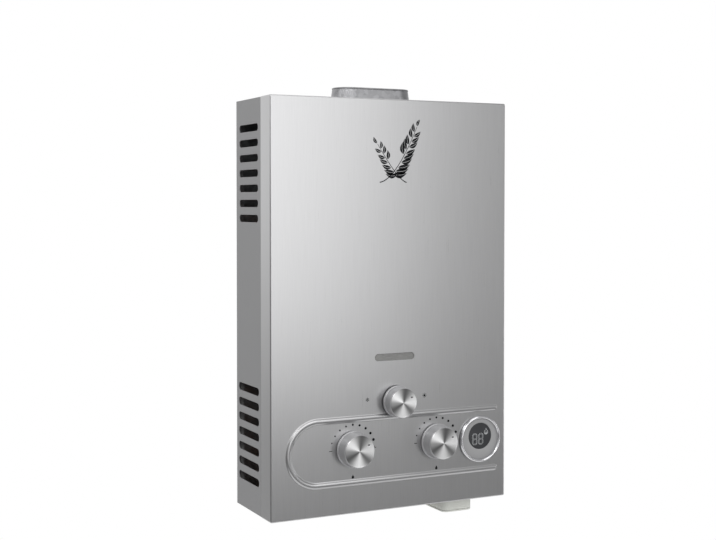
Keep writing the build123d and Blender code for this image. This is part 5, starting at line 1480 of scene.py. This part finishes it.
class HEATER_OT_ports(Operator):
    """Cut the threads of the three ports and chamfer their nuts"""
    bl_idname = "heater.ports"
    bl_label = "Ports"

    def execute(self, context):
        make_materials(context.scene.heater_finish)
        low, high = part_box("port_nipples")
        nut_low, nut_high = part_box("port_locknuts")
        y, hexagon = (nut_low.y + nut_high.y) / 2, 24.0 * MM
        corner = hexagon / math.cos(math.pi / 6) / 2
        threads, nuts = bmesh.new(), bmesh.new()
        for x in (low.x + corner, node_middle("gas_knob").x, high.x - corner):
            self.nipple(threads, x, y, low.z, high.z, nut_low.z, hexagon)
            self.locknut(nuts, x, y, nut_low.z, nut_high.z)
        piece_from(threads, "port_threads", "turned_brass", ("port_nipples",), angle=32)
        piece_from(nuts, "port_nuts", "zinc_steel", ("port_locknuts",), angle=32)
        self.drain_plug()
        return {"FINISHED"}

    def drain_plug(self):
        """The plug beside the cold inlet: a ribbed head with a coin slot, a seal and a stem."""
        low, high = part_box("drain_plug")
        x, y, foot = (low.x + high.x) / 2, (low.y + high.y) / 2, low.z
        head, stem, shoulder = (high.x - low.x) / 2, 4.0 * MM, foot + 6.0 * MM
        face, count, ribs, rib_deep, fade = head - 1.0 * MM, 144, 24, 0.45 * MM, 0.6 * MM
        slot_half, slot_width, slot_deep, wall = 4.3 * MM, 0.8 * MM, 1.5 * MM, 0.15 * MM

        def place(px, py):
            inner = min(slot_half - abs(px - x), slot_width - abs(py - y)) / wall
            return px, py, foot + slot_deep * min(1.0, max(0.0, inner))

        def box_loop(cut):
            return [(x + sx * (slot_half - cut), y + sy * (slot_width - cut))
                    for sx, sy in ((1, 1), (-1, 1), (-1, -1), (1, -1))]

        def ribbed(nominal, height, angle):
            rise = step_up((height - foot - fade) / fade) * step_up((shoulder - height) / fade)
            return nominal - rib_deep * rise * (0.5 - 0.5 * math.cos(ribs * angle)) ** 2

        shell = relief_sheet([ring_of(x, y, face, count), box_loop(0.0), box_loop(wall)], [], place)
        rows = [(face, foot), (head - 0.3 * MM, foot + 0.3 * MM), (head, foot + 0.7 * MM)]
        rows += [(head, foot + (1.2 + 0.6 * i) * MM) for i in range(8)]
        rows += [(head - 0.2 * MM, shoulder), (stem + 0.5 * MM, shoulder + 0.02 * MM)]
        rows += [(stem + 0.35 * MM + 0.55 * MM * math.cos(a), shoulder + 0.75 * MM + 0.65 * MM * math.sin(a))
                 for a in (math.radians(-75 + 150 * i / 8) for i in range(9))]
        rows += [(stem, shoulder + 1.5 * MM), (stem, high.z - 0.6 * MM), (stem - 0.6 * MM, high.z),
                 (0, high.z)]
        skin(shell, upright_rings(rows, x, y, count, ribbed))
        piece_from(shell, "drain_screw", "black_plastic", ("drain_plug",), body="drain",
                   angle=40)

    def nipple(self, shell, x, y, tip, hex_top, nut_low, across):
        """One nipple: chamfered tip, helical thread, relief groove, shank, hexagon and bore."""
        radius, bore, pitch, deep, run_out = 10.48 * MM, 7.0 * MM, 1.6 * MM, 0.85 * MM, 0.8 * MM
        thread_top, hex_low, groove, steps = nut_low - 1.0 * MM, hex_top - 10.0 * MM, radius - 0.9 * MM, 72

        def thread(nominal, height, angle):
            turn = ((height - tip) / pitch + angle / (2 * math.pi)) % 1
            ridge = 1 - abs(2 * turn - 1)
            fade = step_up((thread_top - height) / run_out) * step_up((height - tip) / run_out)
            return nominal - deep * (1 - step_up(ridge * 1.15)) * fade

        rows, first = [], tip + 0.2 * MM
        for i in range(steps + 1):
            height = first + (thread_top - first) * i / steps
            start_cut = 0.7 * MM * (1 - step_up((height - tip) / (1.2 * MM)))
            rows.append((radius - start_cut, height))
        rings = upright_rings([(bore, hex_top), (bore, tip + 0.5 * MM), (bore + 0.5 * MM, tip),
                               (radius - 1.0 * MM, tip)], x, y, 72)
        rings += upright_rings(rows, x, y, 72, thread)
        rings += upright_rings([(groove, thread_top + 0.1 * MM), (groove, nut_low - 0.15 * MM),
                                (radius, nut_low), (radius, hex_low)], x, y, 72)
        chamfer, widest = across / 2, 13.9 * MM
        rings += hexagon_rings([(chamfer, hex_low), (widest, hex_low + 1.0 * MM),
                                (widest, hex_top - 1.0 * MM), (chamfer, hex_top)], x, y, 72, across)
        skin(shell, rings, closed=True)

    def locknut(self, shell, x, y, low, high):
        """One thin nut with both its faces chamfered."""
        bore, across, widest = 10.55 * MM, 27.0 * MM, 15.7 * MM
        rings = upright_rings([(bore, high), (bore, low + 0.5 * MM), (bore + 0.5 * MM, low),
                               (13.0 * MM, low), (13.5 * MM, low + 0.15 * MM)], x, y, 72)
        rings += hexagon_rings([(widest, low + 1.2 * MM), (widest, high - 0.05 * MM), (13.4 * MM, high)],
                               x, y, 72, across)
        skin(shell, rings, closed=True)


# ---------------------------------------------------------------- screws
def recessed_screw():
    """A pan head with a cross recess, its top towards +Z and its seat at the origin."""
    head, height, rim = 4.0 * MM, 2.35 * MM, 0.25 * MM
    arm, half, depth = 2.3 * MM, 0.42 * MM, 1.3 * MM

    def place(px, pz):
        r = math.hypot(px, pz) / head
        level = max(height * math.sqrt(max(0.0, 1 - (r * 0.93) ** 2.6)), rim)
        inner = min(max(abs(px) / arm, abs(pz) / half), max(abs(pz) / arm, abs(px) / half))
        return px, pz, level - depth * step_up((1 - inner) / 0.35) * (level > 0.3 * MM)

    cross = [(arm, half), (half, half), (half, arm), (-half, arm), (-half, half), (-arm, half), (-arm, -half),
             (-half, -half), (-half, -arm), (half, -arm), (half, -half), (arm, -half)]
    loops = [ring_of(0, 0, head * share, 40, share) for share in (1.0, 0.96, 0.9, 0.8, 0.7)]
    loops += [[(a * share, b * share) for a, b in cross] for share in (1.0, 0.82)]
    shell = relief_sheet(loops, [], place)
    edge = loops[0]
    skin(shell, [[place(a, b) for a, b in edge], [(a, b, 0) for a, b in edge], [(0, 0, 0)]])
    outward(shell)
    screw = bpy.data.objects.new("recessed_screw", mesh_from(shell, "recessed_screw"))
    bpy.context.scene.collection.objects.link(screw)
    return screw


class HEATER_OT_screws(Operator):
    """Set out the cross-recessed screws of the casing, the valve bracket and the diaphragm cover"""
    bl_idname = "heater.screws"
    bl_label = "Screws"

    def execute(self, context):
        make_materials(context.scene.heater_finish)
        head, head_room, bracket_gap, cover_circle = 4 * MM, 2.4 * MM, 5.5 * MM, 23 * MM
        low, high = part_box("machine_screws")
        ring_low, ring_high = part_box("diaphragm_screws")
        knob_z = node_middle("gas_knob").z
        ring_y, ring_z = (ring_low.y + ring_high.y) / 2, (ring_low.z + ring_high.z) / 2
        casing = [(x, low.y + head, COVER_LOW.z) for x in (low.x + head, high.x - head)]
        bracket = [(node_middle(name).x + side * bracket_gap, high.y - head_room, knob_z)
                   for name in ("gas_knob", "water_knob") for side in (-1, 1)]
        cover = [(ring_low.x + head_room, y, z) for y, z in ring_of(ring_y, ring_z, cover_circle, 6)]
        screw, tree = recessed_screw(), set_out_tree()
        for name, points, turn, replaced in (
            ("casing_screws", casing, (math.pi, 0, 0), ("machine_screws",)),
            ("bracket_screws", bracket, (-math.pi / 2, 0, 0), ()),
            ("diaphragm_cover_screws", cover, (0, -math.pi / 2, 0), ("diaphragm_screws",)),
        ):
            mesh = grown_mesh(tree, points, {"Object": screw, "Rotation": turn, "Drift": 0.9,
                                             "Material": MATERIALS["zinc_steel"]})
            piece_of(mesh, name, "zinc_steel", replaced, angle=35)
        bpy.data.objects.remove(screw)
        return {"FINISHED"}


# ---------------------------------------------------------------- finishes of the solid parts
NODE_FINISHES = {
    "grey_paint": ("left_side_panel", "right_side_panel", "top_panel", "bottom_panel"),
    "galvanised": ("back_panel", "valve_bracket", "chassis_brackets", "flue_hood", "sight_glass_frame"),
    "mica": ("sight_glass",),
    "turned_brass": ("gas_spindle", "water_spindle", "season_spindle", "water_valve_body", "diaphragm_cover",
                     "burner_nozzles"),
    "circuit_board": ("display_board",),
    "cast_metal": ("gas_valve_body", "gas_manifold", "gas_feed_pipe"),
    "zinc_steel": ("solenoid_valve", "push_rod", "thermostat"),
    "spring_steel": ("cell_springs", "switch_lever"),
    "filter_mesh": ("inlet_filter",),
    "black_rubber": ("diaphragm",),
    "black_plastic": ("micro_switch", "igniter_box", "water_sensor"),
    "heated_steel": ("burner_frame", "burner_bars"),
    "glazed_ceramic": ("electrodes",),
    "heated_copper": ("exchanger_shell", "exchanger_fins", "exchanger_tubes", "cold_water_pipe",
                      "hot_water_pipe"),
    "wire_insulation": ("electrode_leads", "control_leads"),
}


class HEATER_OT_inner_works(Operator):
    """Give the sheets, valves, burner, heat exchanger and wiring their finishes"""
    bl_idname = "heater.inner_works"
    bl_label = "Sheets and inner works"

    def execute(self, context):
        make_materials(context.scene.heater_finish)
        for finish, names in NODE_FINISHES.items():
            for name in names:
                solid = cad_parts[name]
                if not solid.material_slots:
                    raise RuntimeError(f"{name} has no material slot")
                for slot in solid.material_slots:
                    slot.material = MATERIALS[finish]
        self.rod_spring()
        return {"FINISHED"}

    def rod_spring(self):
        """The push rod's wire spring, a fixed helix of round wire."""
        low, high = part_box("push_rod_spring")
        y, z = (low.y + high.y) / 2, (low.z + high.z) / 2
        wire, turns, per_turn, travel = 0.4 * MM, 7, 40, 4.0 * MM
        mean = (high.z - low.z) / 2 - wire
        start, rise = low.x + wire, high.x - low.x - 2 * wire
        rings = []
        for i in range(turns * per_turn + 1):
            share = i / (turns * per_turn)
            angle = 2 * math.pi * turns * share
            middle = Vector((start + rise * share, y + mean * math.cos(angle), z + mean * math.sin(angle)))
            out = Vector((0, math.cos(angle), math.sin(angle)))
            rings.append([middle + wire * (out * math.cos(a) + Vector((1, 0, 0)) * math.sin(a))
                          for a in (2 * math.pi * j / 10 for j in range(10))])
            if i == 0:
                rings.insert(0, [middle])
        rings.append([middle])
        shell = skin(bmesh.new(), rings)
        spring = piece_from(shell, "rod_return_spring", "spring_steel", ("push_rod_spring",))
        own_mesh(spring)


# ---------------------------------------------------------------- stage
class HEATER_OT_stage(Operator):
    """Set up the floor, the soft lights, the pale background and the camera"""
    bl_idname = "heater.stage"
    bl_label = "Stage"

    def execute(self, context):
        stage = context.scene.heater_stage
        self.camera(context, stage)
        self.world(context)
        self.floor(stage)
        # name, place, target, width, height and power
        lamps = (
            ("key", (0.78, -3.70, 0.99), (0.0, 0.0, 0.10), 2.14, 3.6, 39.0),
            ("collar", (-1.20, -3.3, 1.50), (0.0, 0.0, 0.25), 1.2, 1.0, 6.5),
            ("left", (-2.1, -2.4, 2.2), (0.0, 0.0, 0.0), 1.3, 1.2, 23.0),
            ("edge", (2.5, -1.5, -0.55), (0.0, 0.0, -0.15), 1.0, 1.6, 8.0),
            ("fill", (-2.5, -0.6, 1.1), (0.0, 0.0, 0.0), 1.2, 1.4, 6.0),
            ("top", (0.3, -0.4, 2.4), (0.0, 0.0, 0.0), 1.6, 1.6, 9.0),
        )
        for lamp in lamps:
            self.lamp(*lamp)
        context.scene.view_settings.view_transform = "Standard"
        return {"FINISHED"}

    def camera(self, context, stage):
        """A camera at the front left, tipped down a little, with a slightly shifted frame."""
        data = bpy.data.cameras.new("camera")
        data.lens = stage.lens
        data.shift_y = stage.shift
        camera = bpy.data.objects.new("camera", data)
        camera.location = (stage.camera_x, stage.camera_y, stage.camera_z)
        camera.rotation_euler = (math.pi / 2 - stage.camera_tilt, 0, stage.camera_turn)
        context.scene.collection.objects.link(camera)
        context.scene.camera = camera

    def lamp(self, name, place, target, width, height, power):
        """One soft rectangular lamp."""
        data = bpy.data.lights.new(name, "AREA")
        data.shape = "RECTANGLE"
        data.size, data.size_y, data.energy = width, height, power
        lamp = bpy.data.objects.new(name, data)
        lamp.location = place
        lamp.rotation_euler = (Vector(target) - Vector(place)).to_track_quat("-Z", "Y").to_euler()
        bpy.context.scene.collection.objects.link(lamp)

    def world(self, context):
        """A white backdrop behind the heater, and a studio before it that is bright above and dim below."""
        world = bpy.data.worlds.new("studio")
        context.scene.world = world
        world.use_nodes = True
        world.cycles.sampling_method = "NONE"
        tree = world.node_tree
        tree.nodes.clear()
        link, node = tree.links.new, tree.nodes.new
        output = node("ShaderNodeOutputWorld")
        direction = node("ShaderNodeTexCoord")
        split = node("ShaderNodeSeparateXYZ")
        link(direction.outputs["Generated"], split.inputs["Vector"])
        ramp = node("ShaderNodeValToRGB")
        link(spread(tree, split.outputs["Z"], 0, 1, -1, 1), ramp.inputs["Fac"])
        stops = ((0.0, 0.30), (0.40, 0.32), (0.50, 0.60), (0.60, 0.65), (1.0, 0.70))
        for position, grey in stops[1:-1]:
            ramp.color_ramp.elements.new(position)
        for element, (position, grey) in zip(ramp.color_ramp.elements, stops):
            element.position, element.color = position, (grey, grey, grey, 1)
        path = node("ShaderNodeLightPath")
        glossy, glossy_share = path.outputs["Is Glossy Ray"], 0.62
        share = number(tree, "SUBTRACT", 1.0, number(tree, "MULTIPLY", glossy, 1.0 - glossy_share))
        studio, white = node("ShaderNodeBackground"), node("ShaderNodeBackground")
        for backdrop in (studio, white):
            backdrop.inputs["Color"].default_value = (1, 1, 1, 1)
        link(number(tree, "MULTIPLY", ramp.outputs["Color"], share), studio.inputs["Strength"])
        behind = number(tree, "MULTIPLY", spread(tree, split.outputs["Y"], 0, 1, 0.1, 0.5),
                        spread(tree, split.outputs["Z"], 0.3, 1, -0.22, 0.05))
        seen = number(tree, "MAXIMUM", path.outputs["Is Camera Ray"], path.outputs["Is Transmission Ray"])
        seen = number(tree, "MAXIMUM", seen, number(tree, "MULTIPLY", glossy, behind))
        mix = node("ShaderNodeMixShader")
        link(seen, mix.inputs["Fac"])
        link(studio.outputs["Background"], mix.inputs[1])
        link(white.outputs["Background"], mix.inputs[2])
        link(mix.outputs["Shader"], output.inputs["Surface"])

    def floor(self, stage):
        """A pale floor under the heater that fades out to plain white round its shadow."""
        level, reach = COVER_LOW.z - stage.floor_drop, stage.floor_reach
        plain_from, white_from = 0.35 * reach, 0.95 * reach
        mesh = bpy.data.meshes.new("studio_floor")
        mesh.from_pydata([(-reach, -reach, level), (reach, -reach, level), (reach, reach, level),
                          (-reach, reach, level)], [], [(0, 1, 2, 3)])
        floor = bpy.data.objects.new("studio_floor", mesh)
        material, tree, shader = new_material("pale_floor", (0.9, 0.9, 0.9), metallic=0.0, roughness=0.8)
        link, node = tree.links.new, tree.nodes.new
        grain = noise(tree, scale=3, detail=2)
        tint(tree, shader, grain, (0.88, 0.88, 0.88), (0.92, 0.92, 0.92))
        away = node("ShaderNodeVectorMath")
        away.operation = "LENGTH"
        link(object_vector(tree, (1, 1, 0)), away.inputs[0])
        fade = spread(tree, away.outputs["Value"], 0, 1, plain_from, white_from)
        white = node("ShaderNodeEmission")
        white.inputs["Color"].default_value = (1, 1, 1, 1)
        path = node("ShaderNodeLightPath")
        seen = number(tree, "MAXIMUM", path.outputs["Is Camera Ray"], path.outputs["Is Glossy Ray"])
        seen = number(tree, "MAXIMUM", seen, path.outputs["Is Transmission Ray"])
        mix = node("ShaderNodeMixShader")
        link(number(tree, "MULTIPLY", fade, seen), mix.inputs["Fac"])
        link(shader.outputs["BSDF"], mix.inputs[1])
        link(white.outputs["Emission"], mix.inputs[2])
        link(mix.outputs["Shader"], tree.nodes["Material Output"].inputs["Surface"])
        mesh.materials.append(material)
        bpy.context.scene.collection.objects.link(floor)


# ---------------------------------------------------------------- panel and registration
OPERATORS = (
    HEATER_OT_front_sheet, HEATER_OT_knobs, HEATER_OT_display, HEATER_OT_marks, HEATER_OT_leaf_print,
    HEATER_OT_flue_collar, HEATER_OT_battery_compartment, HEATER_OT_ports, HEATER_OT_screws,
    HEATER_OT_inner_works, HEATER_OT_stage,
)


class HEATER_PT_panel(Panel):
    """The heater's settings and pieces"""
    bl_idname = "HEATER_PT_panel"
    bl_label = "Water heater"
    bl_space_type = "VIEW_3D"
    bl_region_type = "UI"
    bl_category = "Water heater"

    def draw(self, context):
        for name, group in SETTINGS.items():
            box = self.layout.box()
            box.label(text=group.__doc__)
            settings = getattr(context.scene, name)
            for key in group.__annotations__:
                box.prop(settings, key)
        for operator in OPERATORS:
            self.layout.operator(operator.bl_idname)


def register():
    """Registers the settings, operators and panel."""
    for name, group in SETTINGS.items():
        bpy.utils.register_class(group)
        setattr(bpy.types.Scene, name, PointerProperty(type=group))
    for item in (*OPERATORS, HEATER_PT_panel):
        bpy.utils.register_class(item)


def unregister():
    """Takes the settings, operators and panel away."""
    for item in reversed((*OPERATORS, HEATER_PT_panel)):
        bpy.utils.unregister_class(item)
    for name, group in SETTINGS.items():
        delattr(bpy.types.Scene, name)
        bpy.utils.unregister_class(group)


def main():
    """Makes the heater and its stage."""
    register()
    bpy.ops.heater.front_sheet()
    bpy.ops.heater.knobs()
    bpy.ops.heater.display()
    bpy.ops.heater.marks()
    bpy.ops.heater.leaf_print()
    bpy.ops.heater.flue_collar()
    bpy.ops.heater.battery_compartment()
    bpy.ops.heater.ports()
    bpy.ops.heater.screws()
    bpy.ops.heater.inner_works()
    bpy.ops.heater.stage()


if __name__ == "__main__":
    main()
